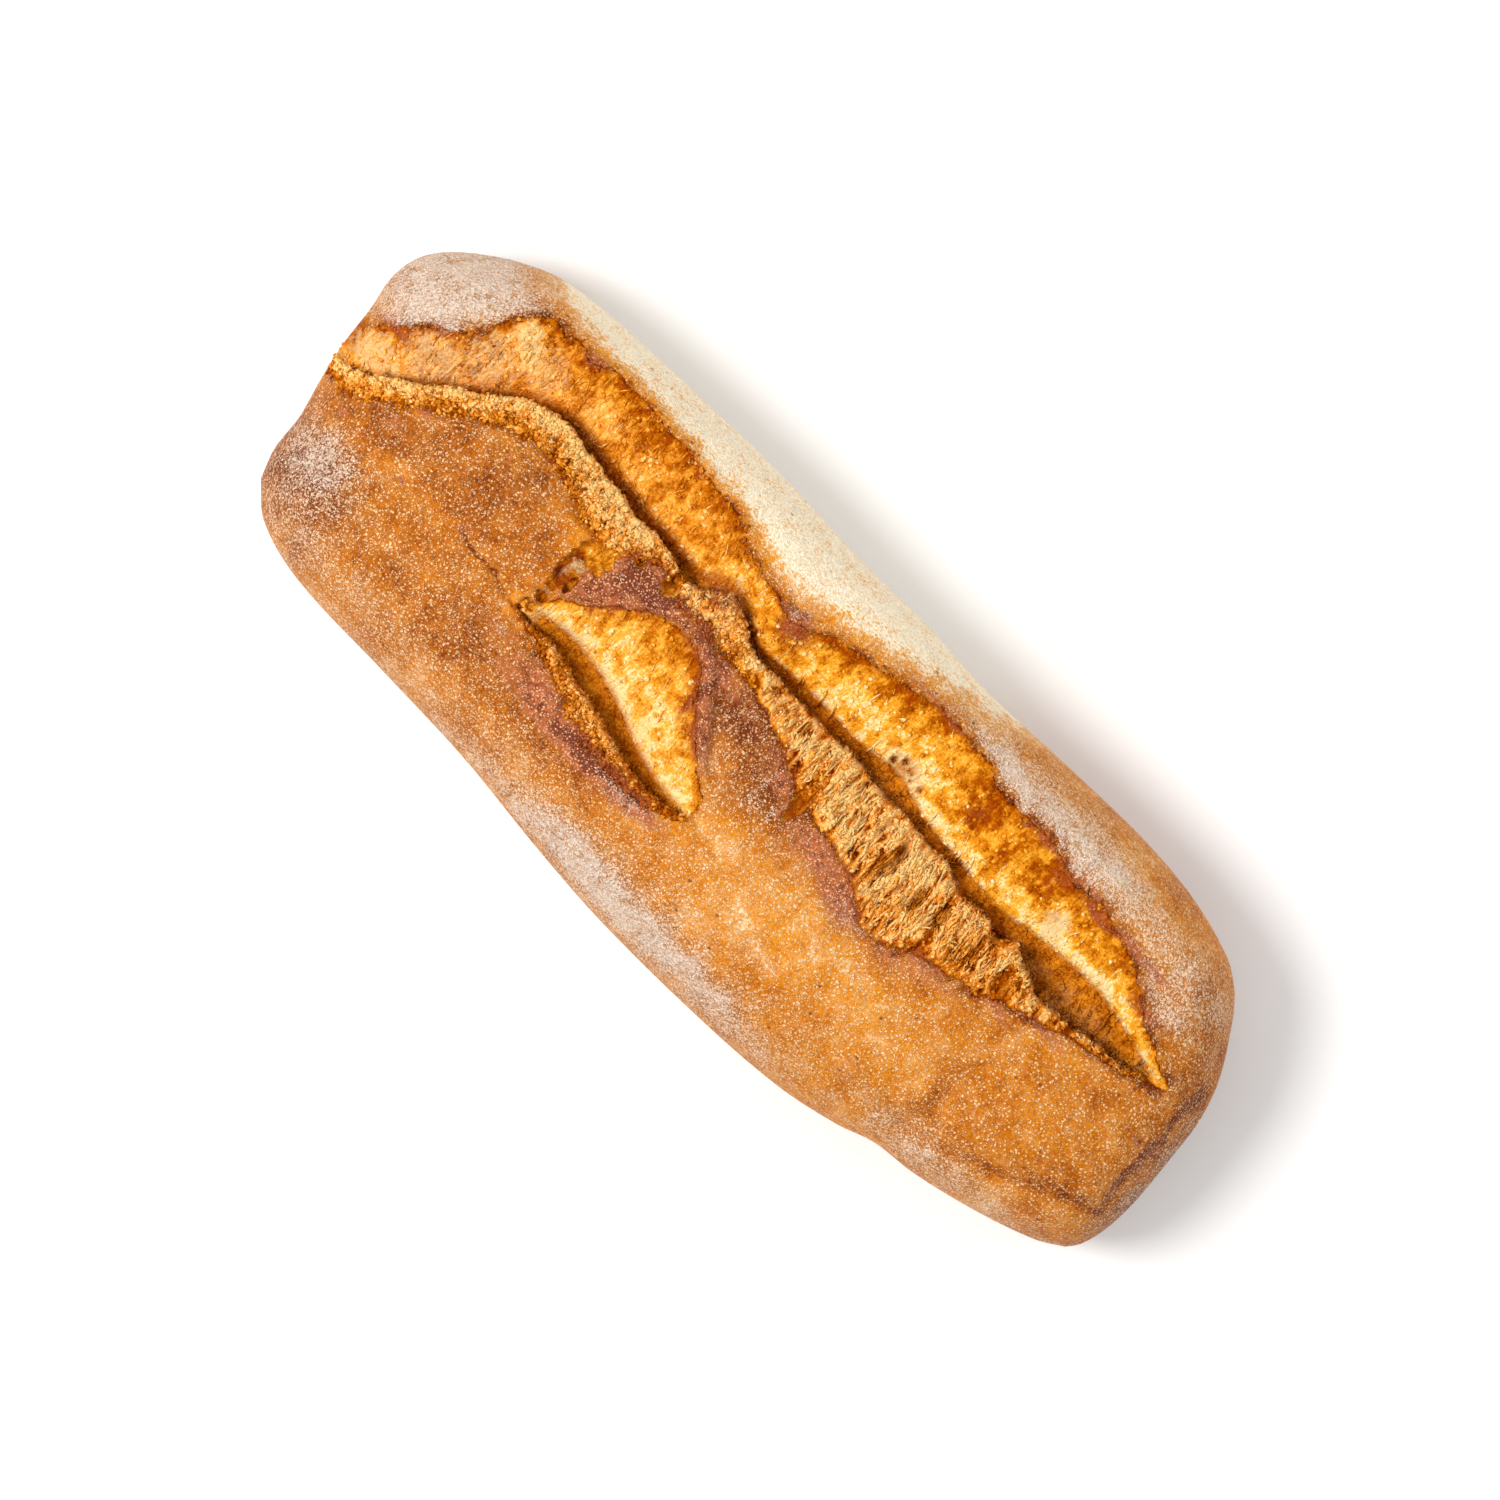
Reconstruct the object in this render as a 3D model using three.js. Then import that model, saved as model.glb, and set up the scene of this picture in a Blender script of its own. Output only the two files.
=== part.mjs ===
// A ciabatta: one uncut, slipper-shaped loaf of white bread that tore open along its crown in the oven.
// The long tear leaves a steep, ragged lip on one side and a golden slope of bare crumb on the other.
// A shorter slash with a high, scorched ridge lies beside it, and the loaf is solid crumb below.
//
// Millimetres, +Z up. The loaf rests on z = 0, +X runs along its length and +Y points to the pale flank
// that leaned against its neighbour. The origin is below the middle of the loaf, on the face it rests on.

import * as THREE from "three";
import { ImprovedNoise } from "three/addons/math/ImprovedNoise.js";
import { mergeGeometries, mergeVertices } from "three/addons/utils/BufferGeometryUtils.js";

// Driving sizes.
const CROWN_HEIGHT = 57; // the crust over the middle of the loaf, before the swells
const CROWN_FALL = 5; // how much lower the crown is at the two long shoulders
const END_FALL = 9; // how much lower the crown is at the two ends
const HALF_LENGTH = 150;
const HALF_WIDTH = 56;
const EQUATOR_HEIGHT = 20; // where the flanks stand out furthest
const SOFT_SHOULDER = 30; // the run of the shoulder, in from the outline, over most of the loaf
const TIGHT_SHOULDER = 18; // the same above the tear and at the squarer right-hand end
const SHOULDER_POWER = 2.2; // 2 is a quarter ellipse, more is boxier
const BASE_INSET = 8; // how far the foot of the flank turns in under the loaf
const SPINE_HALF_LENGTH = 98;
const CRUST_RIPPLE = 0.5; // uneven skin

// The mesh: columns run across the loaf, and rows run along it, in three bands.
const COLUMNS = 100;
const ROWS_BELOW_SLASH = 12;
const ROWS_BETWEEN_CUTS = 14;
const ROWS_ABOVE_TEAR = 14;
const FLANK_RINGS = 3;
const ROW_CROWDING = 0.62; // rows lie closer at the outline, the slash and the tear
const COLUMN_CROWDING = 0.4; // columns lie closer at the two ends

// The outline seen from above, as four sides that meet at the corners of the loaf.
const LOW_SIDE = [
  [-137, -38], [-129, -45], [-112, -49.5], [-80, -50.5], [-50, -51.5], [-20, -54.5], [5, -56], [40, -55.5],
  [65, -53.5], [82, -49.8], [92, -46.3], [105, -44.6], [122, -40.4], [138, -34.8], [145, -30.5],
];
const HIGH_SIDE = [
  [-139, 41], [-131, 46.5], [-119, 51.8], [-100, 54.3], [-70, 55.7], [-45, 56.4], [-15, 55.3], [10, 55.6],
  [30, 54.6], [60, 55.8], [85, 56.4], [105, 54.8], [122, 50.3], [129, 45.8], [133.5, 41],
];
const LEFT_END = [
  [-38, -137], [-30, -140], [-20, -141.2], [-10, -144], [0, -146.4], [12, -148], [22, -149.9], [30, -148.5],
  [36, -144.5], [41, -139],
];
const RIGHT_END = [
  [-30.5, 145], [-27, 147.3], [-20, 149], [-10, 149.3], [5, 147.8], [15, 146.5], [24, 143.8], [31, 140.2],
  [41, 133.5],
];

// The long tear: the line of its bottom, the crust's edge above and below it, and its depth.
const TEAR_LINE = [
  [-150, -2], [-138, -1], [-131, 3.5], [-120, 11], [-108, 20.5], [-98, 27], [-88, 28], [-75, 26.5],
  [-60, 24.5], [-45, 22.5], [-33, 25.5], [-22, 21.5], [0, 20.5], [25, 19.5], [50, 17.8], [70, 15.5],
  [95, 13], [131, 15.5], [150, 16],
];
const TEAR_UPPER_EDGE = [
  [-150, 8], [-142, 12], [-130, 21.5], [-120, 33], [-112, 41], [-100, 43.5], [-85, 44.5], [-60, 42.5],
  [-45, 41], [-30, 35], [-20, 32], [-5, 37], [10, 40.5], [28, 42], [48, 38], [65, 38.5], [80, 37],
  [95, 35], [105, 32], [118, 24.5], [131, 17.5], [150, 18],
];
const TEAR_LOWER_EDGE = [
  [-150, -4], [-138, -4.5], [-125, 3], [-110, 14], [-95, 20.5], [-85, 20], [-70, 15], [-60, 14.5],
  [-48, 19], [-30, 19.5], [-12, 15], [2, 9], [18, 2.5], [35, 0], [52, -8.5], [70, -4], [90, 1.5],
  [110, 7], [131, 14.5], [150, 15],
];
const TEAR_DEPTH = [
  [-150, 3], [-130, 6], [-110, 10], [-90, 13], [-60, 12], [-45, 11], [-32, 6], [-18, 9], [0, 12],
  [40, 13], [80, 12.5], [105, 10.5], [120, 7], [131, 2], [137, 0], [150, 0],
];
// The share of the depth that the lower side drops in one steep lip; the rest is a slope of torn crumb.
const TEAR_LIP_SHARE = [
  [-150, 0.85], [-40, 0.8], [-10, 0.6], [15, 0.42], [60, 0.4], [85, 0.6], [110, 0.75], [150, 0.8],
];
const TEAR_LIP_RUN = 2.2;

// The short slash: its bottom, its scorched ridge above, the crust's edge below, and its depth.
// The line of its bottom runs on to both ends of the loaf, where there is no cut, as a guide for the rows.
const SLASH_START = -70;
const SLASH_END = 2;
const SLASH_LINE = [
  [-150, -14], [-120, -13.5], [-90, -11.5], [-68, -12.5], [-50, -13.5], [-40, -16], [-30, -19.5],
  [-20, -21.8], [-10, -22.6], [0, -21.5], [15, -22], [45, -23.5], [85, -21], [120, -15], [150, -11],
];
const SLASH_RIDGE = [
  [-70, -6], [-62, -1], [-50, 7], [-38, 13.5], [-30, 14.5], [-24, 12], [-18, 5], [-12, -3], [-6, -9],
  [2, -15],
];
const SLASH_LOWER_EDGE = [
  [-70, -14], [-60, -17], [-50, -20], [-40, -24], [-30, -28.5], [-20, -29.5], [-10, -28], [2, -23],
];
const SLASH_DEPTH = [[-70, 0], [-65, 4], [-58, 7.5], [-45, 9.5], [-25, 10.5], [-12, 9.5], [-4, 6], [2, 0]];
const SLASH_LIP_SHARE = 0.7;
const SLASH_LIP_RUN = 3;
const RIDGE_HEIGHT = 3;
const RIDGE_HALF_WIDTH = 5;

// Creases in the crust: [line, depth, half width].
const FLANK_FOLD = [
  [58, -39.5], [72, -41.3], [82, -40], [92, -38], [105, -34.5], [120, -28.5], [134, -22], [143, -19],
];
const SLASH_TAIL = [[-2, -18.5], [8, -21], [18, -24.5], [30, -30.5], [44, -34.5]];
const LEFT_SHOULDER_FOLD = [[-140, -13], [-120, -13.5], [-100, -12], [-84, -11], [-68, -13.5]];
const CREASES = [
  { line: FLANK_FOLD, depth: 1.5, halfWidth: 2.8 },
  { line: SLASH_TAIL, depth: 1.3, halfWidth: 3 },
  { line: LEFT_SHOULDER_FOLD, depth: 1, halfWidth: 3 },
];

// Swells and hollows of the crown: where the dough rose more or less than the dome.
const SWELLS = [
  { x: -90, y: 6, runX: 34, runY: 13, rise: 3.4 }, // the flap left of the slash
  { x: -128, y: 32, runX: 18, runY: 13, rise: 2.4 }, // the floured upper lobe
  { x: -120, y: -30, runX: 20, runY: 13, rise: 1.6 }, // the floured lower lobe
  { x: 28, y: -22, runX: 34, runY: 12, rise: 2.2 }, // the belly below the torn crumb
  { x: 118, y: -10, runX: 20, runY: 15, rise: 2.6 }, // the square pillow at the right-hand end
  { x: 95, y: -24, runX: 5, runY: 16, rise: -1.6 }, // the dip before the pillow
  { x: 93, y: -37.5, runX: 3, runY: 3, rise: -1.8 }, // the dimple at the foot of the dip
  { x: 72, y: 42, runX: 36, runY: 7, rise: 1.6 }, // the ear above the torn crumb
  { x: -78, y: 45, runX: 34, runY: 6, rise: 1.2 }, // the ear above the golden slope
  { x: 10, y: 29, runX: 17, runY: 7, rise: 1.6 }, // the first pillow on the upper side of the tear
  { x: 82, y: 26, runX: 20, runY: 7, rise: 1.4 }, // the second
  { x: 50, y: 31, runX: 6, runY: 8, rise: -1.8 }, // the ledge between them
  { x: -36, y: 21, runX: 9, runY: 5, rise: 2.4 }, // the knot that bridges the tear
  { x: -62.5, y: 3, runX: 4.2, runY: 4, rise: -5 }, // the burst bubble
];

const CRUST_COLOUR = 0xc4813f;

// A smooth curve through [a, b] pairs with rising a: cubic between the pairs, level beyond the ends.
function follow(pairs, at) {
  const last = pairs.length - 1;
  const a = THREE.MathUtils.clamp(at, pairs[0][0], pairs[last][0]);
  let i = 0;
  while (i < last - 1 && a > pairs[i + 1][0]) i += 1;
  const slope = (k) => {
    const before = pairs[Math.max(k - 1, 0)];
    const after = pairs[Math.min(k + 1, last)];
    return (after[1] - before[1]) / (after[0] - before[0]);
  };
  const [a0, b0] = pairs[i];
  const [a1, b1] = pairs[i + 1];
  const run = a1 - a0;
  const t = (a - a0) / run;
  const t2 = t * t;
  const t3 = t2 * t;
  return (
    b0 * (2 * t3 - 3 * t2 + 1) +
    b1 * (3 * t2 - 2 * t3) +
    slope(i) * run * (t3 - 2 * t2 + t) +
    slope(i + 1) * run * (t3 - t2)
  );
}

const smooth = (low, high, value) => THREE.MathUtils.smoothstep(value, low, high);
const bell = (distance, halfWidth) => Math.exp(-((distance / halfWidth) ** 2));
const crowd = (t, amount) => t + amount * (t * t * (3 - 2 * t) - t);

// How far (x, y) lies to the +Y side of a line, measured square to it.
function offsetFrom(line, x, y) {
  const STEP = 1;
  const slope = (follow(line, x + STEP) - follow(line, x - STEP)) / (2 * STEP);
  return (y - follow(line, x)) / Math.hypot(1, slope);
}

// How much a cleft takes off the crown: a long slope on its upper side, a lip and a slope on its lower side.
function cleft(offset, upperRun, lowerRun, depth, lipShare, lipRun) {
  if (offset >= 0) return depth * Math.max(0, 1 - offset / Math.max(upperRun, 1)) ** 1.25;
  const lip = 1 - smooth(0, lipRun, -offset);
  const slope = Math.max(0, 1 + offset / Math.max(lowerRun, lipRun)) ** 1.15;
  return depth * (lipShare * lip + (1 - lipShare) * slope);
}

function tearCut(x, y) {
  const bottom = follow(TEAR_LINE, x);
  return cleft(
    offsetFrom(TEAR_LINE, x, y),
    follow(TEAR_UPPER_EDGE, x) - bottom,
    bottom - follow(TEAR_LOWER_EDGE, x),
    follow(TEAR_DEPTH, x),
    follow(TEAR_LIP_SHARE, x),
    TEAR_LIP_RUN,
  );
}

function slashCut(x, y) {
  if (x < SLASH_START || x > SLASH_END) return 0;
  const bottom = follow(SLASH_LINE, x);
  return cleft(
    offsetFrom(SLASH_LINE, x, y),
    follow(SLASH_RIDGE, x) - bottom,
    bottom - follow(SLASH_LOWER_EDGE, x),
    follow(SLASH_DEPTH, x),
    SLASH_LIP_SHARE,
    SLASH_LIP_RUN,
  );
}

function ridgeRise(x, y) {
  const along = smooth(SLASH_START, SLASH_START + 14, x) * (1 - smooth(SLASH_END - 12, SLASH_END, x));
  return RIDGE_HEIGHT * along * bell(offsetFrom(SLASH_RIDGE, x, y), RIDGE_HALF_WIDTH);
}

function creaseCut(x, y) {
  const END_FADE = 8;
  let cut = 0;
  for (const { line, depth, halfWidth } of CREASES) {
    const start = line[0][0];
    const end = line[line.length - 1][0];
    const begun = smooth(start - END_FADE, start + END_FADE, x);
    const ended = smooth(end - END_FADE, end + END_FADE, x);
    cut += depth * begun * (1 - ended) * bell(offsetFrom(line, x, y), halfWidth);
  }
  return cut;
}

function swellRise(x, y) {
  let rise = 0;
  for (const swell of SWELLS) {
    rise += swell.rise * bell(x - swell.x, swell.runX) * bell(y - swell.y, swell.runY);
  }
  return rise;
}

const noise = new ImprovedNoise();

// The height of the crust over (x, y), where edge is the distance in from the outline.
function crownHeight(x, y, edge) {
  const tight = Math.max(smooth(55, 120, x), smooth(-5, 30, y) * smooth(-140, -105, x));
  const shoulder = THREE.MathUtils.lerp(SOFT_SHOULDER, TIGHT_SHOULDER, tight);
  const inward = Math.min(edge / shoulder, 1);
  const round = (1 - (1 - inward) ** SHOULDER_POWER) ** (1 / SHOULDER_POWER);
  const dome = CROWN_HEIGHT - CROWN_FALL * (y / HALF_WIDTH) ** 2 - END_FALL * (x / HALF_LENGTH) ** 4;
  const raised = swellRise(x, y) + ridgeRise(x, y) + CRUST_RIPPLE * noise.noise(x / 13, y / 9, 0.5);
  const relief = raised - tearCut(x, y) - slashCut(x, y) - creaseCut(x, y);
  return EQUATOR_HEIGHT + (dome + relief * smooth(0, 0.35, inward) - EQUATOR_HEIGHT) * round;
}

// The rows' four guides across the loaf, and the bands of rows between them.
const GUIDES = [LOW_SIDE, SLASH_LINE, TEAR_LINE, HIGH_SIDE];
const BANDS = [ROWS_BELOW_SLASH, ROWS_BETWEEN_CUTS, ROWS_ABOVE_TEAR];
const ROWS = BANDS.reduce((sum, rows) => sum + rows);

// Where column share s and row share t of the crown lie in plan.
function planPoint(s, t) {
  const TURNS = 14; // x depends on y and y on x, so the point is settled in turns
  let band = 0;
  let row = Math.round(t * ROWS);
  while (row > BANDS[band]) {
    row -= BANDS[band];
    band += 1;
  }
  const share = crowd(row / BANDS[band], ROW_CROWDING);
  let x = THREE.MathUtils.lerp(-HALF_LENGTH, HALF_LENGTH, s);
  let y = 0;
  for (let turn = 0; turn < TURNS; turn += 1) {
    y = THREE.MathUtils.lerp(follow(GUIDES[band], x), follow(GUIDES[band + 1], x), share);
    x = THREE.MathUtils.lerp(follow(LEFT_END, y), follow(RIGHT_END, y), crowd(s, COLUMN_CROWDING));
  }
  return new THREE.Vector2(x, y);
}

// The rim of a grid of points, once round and anticlockwise from its low left corner.
function rimOf(place, columns, rows) {
  const at = (i, j) => {
    const index = j * (columns + 1) + i;
    return new THREE.Vector2(place.getX(index), place.getY(index));
  };
  const rim = [];
  for (let i = 0; i < columns; i += 1) rim.push(at(i, rows));
  for (let j = rows; j > 0; j -= 1) rim.push(at(columns, j));
  for (let i = columns; i > 0; i -= 1) rim.push(at(i, 0));
  for (let j = 0; j < rows; j += 1) rim.push(at(0, j));
  return rim;
}

function distanceToRim(point, rim) {
  const nearest = new THREE.Vector2();
  const side = new THREE.Vector2();
  let least = Infinity;
  rim.forEach((start, i) => {
    side.subVectors(rim[(i + 1) % rim.length], start);
    const along = THREE.MathUtils.clamp(nearest.subVectors(point, start).dot(side) / side.lengthSq(), 0, 1);
    nearest.copy(start).addScaledVector(side, along);
    least = Math.min(least, nearest.distanceTo(point));
  });
  return least;
}

// The way in from each point of the rim: towards the nearest point of the loaf's spine.
function inwardOf(rim) {
  return rim.map((p) => {
    const spine = new THREE.Vector2(THREE.MathUtils.clamp(p.x, -SPINE_HALF_LENGTH, SPINE_HALF_LENGTH), 0);
    return spine.sub(p).normalize();
  });
}

function shapeOnly(geometry) {
  geometry.deleteAttribute("normal");
  geometry.deleteAttribute("uv");
  return geometry;
}

// The crown: a flat grid that is spread over the loaf's plan and then lifted.
function crown(columns, rows) {
  const grid = new THREE.PlaneGeometry(1, 1, columns, rows);
  const place = grid.attributes.position;
  for (let i = 0; i < place.count; i += 1) {
    const point = planPoint(place.getX(i) + 0.5, place.getY(i) + 0.5);
    place.setXY(i, point.x, point.y);
  }
  const rim = rimOf(place, columns, rows);
  for (let i = 0; i < place.count; i += 1) {
    const point = new THREE.Vector2(place.getX(i), place.getY(i));
    place.setZ(i, crownHeight(point.x, point.y, distanceToRim(point, rim)));
  }
  return { geometry: shapeOnly(grid), rim };
}

// The flank under the equator: it turns in to the foot along a quarter ellipse.
function flank(rim, inward) {
  const band = new THREE.PlaneGeometry(1, 1, rim.length, FLANK_RINGS);
  const place = band.attributes.position;
  for (let i = 0; i < place.count; i += 1) {
    const k = i % (rim.length + 1) % rim.length;
    const turn = (0.5 - place.getY(i)) * (Math.PI / 2);
    const inset = BASE_INSET * (1 - Math.cos(turn));
    const height = EQUATOR_HEIGHT * (1 - Math.sin(turn));
    place.setXYZ(i, rim[k].x + inward[k].x * inset, rim[k].y + inward[k].y * inset, height);
  }
  return shapeOnly(band);
}

// The flat face that the loaf rests on, drawn through the foot of the flank and turned to face down.
function base(rim, inward) {
  const foot = rim.map((p, k) => p.clone().addScaledVector(inward[k], BASE_INSET));
  const face = new THREE.ShapeGeometry(new THREE.Shape(foot));
  face.index.array.reverse();
  return shapeOnly(face);
}

// The three patches as one closed skin, with the middle of its plan on the Z axis.
function loafGeometry() {
  const { geometry, rim } = crown(COLUMNS, ROWS);
  const inward = inwardOf(rim);
  const skin = mergeVertices(mergeGeometries([geometry, flank(rim, inward), base(rim, inward)]), 1e-3);
  skin.computeBoundingBox();
  const middle = skin.boundingBox.getCenter(new THREE.Vector3());
  return skin.translate(-middle.x, -middle.y, 0);
}

function loaf() {
  const crust = new THREE.MeshStandardMaterial({ color: CRUST_COLOUR, roughness: 0.8, metalness: 0 });
  const geometry = loafGeometry();
  geometry.computeVertexNormals();
  const mesh = new THREE.Mesh(geometry, crust);
  mesh.name = "loaf";
  return mesh;
}

const ciabatta = new THREE.Group();
ciabatta.add(loaf());

export default ciabatta;
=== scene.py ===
"""A ciabatta with its crown torn open in the oven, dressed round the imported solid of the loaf."""

import math

import bmesh
import bpy
import numpy as np
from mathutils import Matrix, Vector
from mathutils.bvhtree import BVHTree


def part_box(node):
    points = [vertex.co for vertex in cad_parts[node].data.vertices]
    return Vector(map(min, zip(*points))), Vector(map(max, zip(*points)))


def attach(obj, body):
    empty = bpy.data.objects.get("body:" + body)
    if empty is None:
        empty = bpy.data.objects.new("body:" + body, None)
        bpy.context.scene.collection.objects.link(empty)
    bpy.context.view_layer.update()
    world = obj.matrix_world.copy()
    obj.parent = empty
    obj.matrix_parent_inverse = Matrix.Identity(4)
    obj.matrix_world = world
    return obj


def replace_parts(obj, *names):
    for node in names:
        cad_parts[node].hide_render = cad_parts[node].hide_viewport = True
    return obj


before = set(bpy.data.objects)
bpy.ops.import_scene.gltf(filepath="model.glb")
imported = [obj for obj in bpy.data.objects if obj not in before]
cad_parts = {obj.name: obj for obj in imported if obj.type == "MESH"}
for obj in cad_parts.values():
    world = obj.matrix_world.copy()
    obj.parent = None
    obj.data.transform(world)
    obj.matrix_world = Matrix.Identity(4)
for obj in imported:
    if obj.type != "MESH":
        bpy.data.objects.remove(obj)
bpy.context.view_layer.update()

bl_info = {
    "name": "Ciabatta",
    "version": (1, 0, 0),
    "blender": (4, 5, 0),
    "location": "3D View > Sidebar > Ciabatta",
    "description": "Shapes, tears, bakes and flours a ciabatta loaf, and lays it on a pale table",
    "category": "Object",
}

MM = 0.001  # shapes are worked out in millimetres and kept in metres
_, CAD_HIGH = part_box("loaf")

# --- The loaf's form, in millimetres. X runs along it and +Y points to its pale flank. -------------------

CROWN_HEIGHT = 57.0
CROWN_FALL = 5.0  # how much lower the crown is at the two long shoulders
END_FALL = 9.0
HALF_LENGTH = 150.0
HALF_WIDTH = 56.0
EQUATOR_HEIGHT = 20.0
SOFT_SHOULDER = 30.0
TIGHT_SHOULDER = 18.0
SHOULDER_POWER = 2.2
BASE_INSET = 8.0
CRUST_THICKNESS = 0.9
SPINE_HALF_LENGTH = 98.0

LOW_SIDE = [
    (-137, -38), (-129, -45), (-112, -49.5), (-80, -50.5), (-50, -51.5), (-20, -54.5), (5, -56),
    (40, -55.5), (65, -53.5), (82, -49.8), (92, -46.3), (105, -44.6), (122, -40.4), (138, -34.8),
    (145, -30.5),
]
HIGH_SIDE = [
    (-139, 41), (-131, 46.5), (-119, 51.8), (-100, 54.3), (-70, 55.7), (-45, 56.4), (-15, 55.3), (10, 55.6),
    (30, 54.6), (60, 55.8), (85, 56.4), (105, 54.8), (122, 50.3), (129, 45.8), (133.5, 41),
]
LEFT_END = [
    (-38, -137), (-30, -140), (-20, -141.2), (-10, -144), (0, -146.4), (12, -148), (22, -149.9),
    (30, -148.5), (36, -144.5), (41, -139),
]
RIGHT_END = [
    (-30.5, 145), (-27, 147.3), (-20, 149), (-10, 149.3), (5, 147.8), (15, 146.5), (24, 143.8), (31, 140.2),
    (41, 133.5),
]

# The long tear: the line of its lower lip, the ledge where its golden slope breaks off into the trough,
# and the edges of the crust above and below.
TEAR_LIP = [
    (-150, -4), (-146, -2.5), (-138, -1), (-130, 3), (-120, 10.5), (-110, 18), (-105, 21.5), (-100, 24.5),
    (-95, 25.8), (-90, 26.2), (-80, 25), (-70, 23.6), (-60, 22.6), (-50, 21.6), (-44, 20.6), (-40, 20.2),
    (-36, 22.5), (-32, 25.8), (-28, 25), (-22, 22.2), (-18, 19.8), (-10, 19.2), (10, 19), (30, 18),
    (50, 16.8), (54, 17.2), (58, 15.5), (62, 13.2), (66, 14.2), (68.5, 15), (73, 13.6), (77, 12.8),
    (81, 15), (85, 12.6), (90, 10.4), (94, 9.2), (100, 9.8), (110, 10.8), (120, 12.4), (131, 15), (150, 16),
]
TEAR_LEDGE = [
    (-150, 0), (-146, -0.5), (-138, 0.6), (-130, 4.8), (-120, 12), (-110, 19.8), (-105, 23.6), (-100, 26.8),
    (-95, 28.2), (-90, 28.6), (-80, 28), (-70, 26.8), (-60, 25.6), (-50, 25), (-44, 24.4), (-40, 24.8),
    (-36, 26.5), (-32, 28.6), (-28, 28.0), (-24, 25.0), (-21.5, 22.9), (-18, 21.8), (-15, 21.6),
    (-10, 22.2), (0, 22.8), (18, 22.6), (24, 23.6), (30, 24), (36, 22.6), (42, 20.6), (50, 19.8),
    (57, 19.4), (64, 18.4), (72, 18), (80, 19.4), (90, 20.6), (104, 21.2), (112, 19.8), (120, 17.8),
    (126, 16.6), (131, 16), (150, 17),
]
TEAR_UPPER_EDGE = [
    (-150, 8), (-147, 9.5), (-143, 9.5), (-140, 12.5), (-130, 20.5), (-125, 24.5), (-121.5, 28), (-120, 33),
    (-117, 37), (-112.5, 42), (-105, 42.5), (-101, 43.5), (-97, 41.5), (-92, 44), (-80, 44.3), (-70, 43.5),
    (-55, 42), (-45, 41), (-40, 39), (-35, 36), (-30, 34.5), (-25, 34), (-22, 33.2), (-19, 32), (-16, 31.6),
    (-12, 33), (-5, 36.5), (0, 37.5), (8, 39), (15, 40.5), (22, 42), (30, 42.8), (38, 42), (45, 41),
    (50, 38.5), (60, 38.8), (70, 38.8), (76, 37), (82, 35.5), (88, 36.5), (95, 35), (103, 32.5), (108, 30),
    (113, 26.5), (118, 23), (124, 20.5), (131, 17), (150, 18),
]
TEAR_LOWER_EDGE = [
    (-150, -8), (-146, -5), (-138, -6), (-130, -2), (-118, 6), (-110, 12), (-100, 17), (-92, 19),
    (-85, 18.5), (-75, 15.5), (-66, 13.5), (-58, 14.5), (-54, 16.4), (-50, 18.3), (-46, 19.4), (-42, 17.5),
    (-38, 15.6), (-30, 15.2), (-22, 14.6), (-15, 14), (-8, 12.6), (0, 9.6), (8, 6.5), (14, 3), (20, 1.5),
    (30, 0), (36, -2), (42, -4), (48, -8), (54, -9.5), (60, -7.5), (66, -4), (72, -2.5), (80, -2), (84, 0),
    (90, 3), (100, 5.5), (110, 8.5), (120, 10.8), (128, 13.6), (131, 14.4), (150, 15),
]
TEAR_DEPTH = [
    (-150, 3), (-130, 6), (-110, 9), (-90, 10.5), (-60, 10), (-45, 9), (-32, 5), (-18, 8), (0, 10.5),
    (40, 11), (80, 10.5), (105, 9), (120, 6), (131, 2), (137, 0), (150, 0),
]
TEAR_DROP = [
    (-150, 1), (-138, 2), (-120, 2.6), (-60, 3), (-45, 3), (-36, 2), (-28, 2), (-18, 3), (20, 3.2),
    (60, 3.2), (90, 3.8), (115, 3.2), (128, 1), (131, 0), (150, 0),
]
# How softly the golden slope rounds over into the trough.
TEAR_ROUNDING = [(-150, 2.4), (-50, 2.2), (-20, 1.0), (0, 0.7), (150, 0.7)]
# How softly crust and crumb meet at the lower edge.
TEAR_SOFTNESS = [(-150, 4.5), (-48, 4.0), (-20, 2.2), (0, 1.8), (90, 1.4), (150, 0.8)]
# How much of the depth the lip itself drops; the rest falls along the lower slope.
TEAR_LIP_SHARE = [
    (-150, 0.85), (-40, 0.8), (-10, 0.6), (15, 0.42), (60, 0.4), (85, 0.6), (110, 0.75), (150, 0.8),
]

# The short slash and the scorched ridge above it.
SLASH_START, SLASH_END = -66.5, 2.0
SLASH_LIP = [
    (-150, -14), (-120, -13.5), (-90, -12), (-68, -14), (-60, -14.8), (-50, -15.5), (-40, -17.8),
    (-30, -20), (-22, -22.5), (-15, -23.8), (-8, -23.8), (-3, -22.5), (2, -21.5), (15, -22), (45, -23.5),
    (85, -21), (120, -15), (150, -11),
]
SLASH_LEDGE = [
    (-68, -12.6), (-63, -11.4), (-57, -10.4), (-50, -10), (-40, -11.5), (-30, -14.3), (-22, -17.5),
    (-15, -19.5), (-8, -20.8), (2, -21.2),
]
SLASH_UPPER_EDGE = [
    (-68, -13), (-65, -11.4), (-62.5, -8.4), (-60, -5.4), (-56, -3), (-52, 0.6), (-46, 5.5), (-42, 8.5),
    (-36, 10), (-30, 10.5), (-25, 8.5), (-20, 3), (-15, -3), (-10, -8), (-4, -13), (2, -17),
]
SLASH_LOWER_EDGE = [
    (-68, -13.6), (-65, -14.6), (-61, -16.6), (-50, -19.8), (-44, -22.2), (-38, -24.6), (-30, -26.8),
    (-20, -27.6), (-10, -26.6), (-3, -24.2), (2, -22.5),
]
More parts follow.
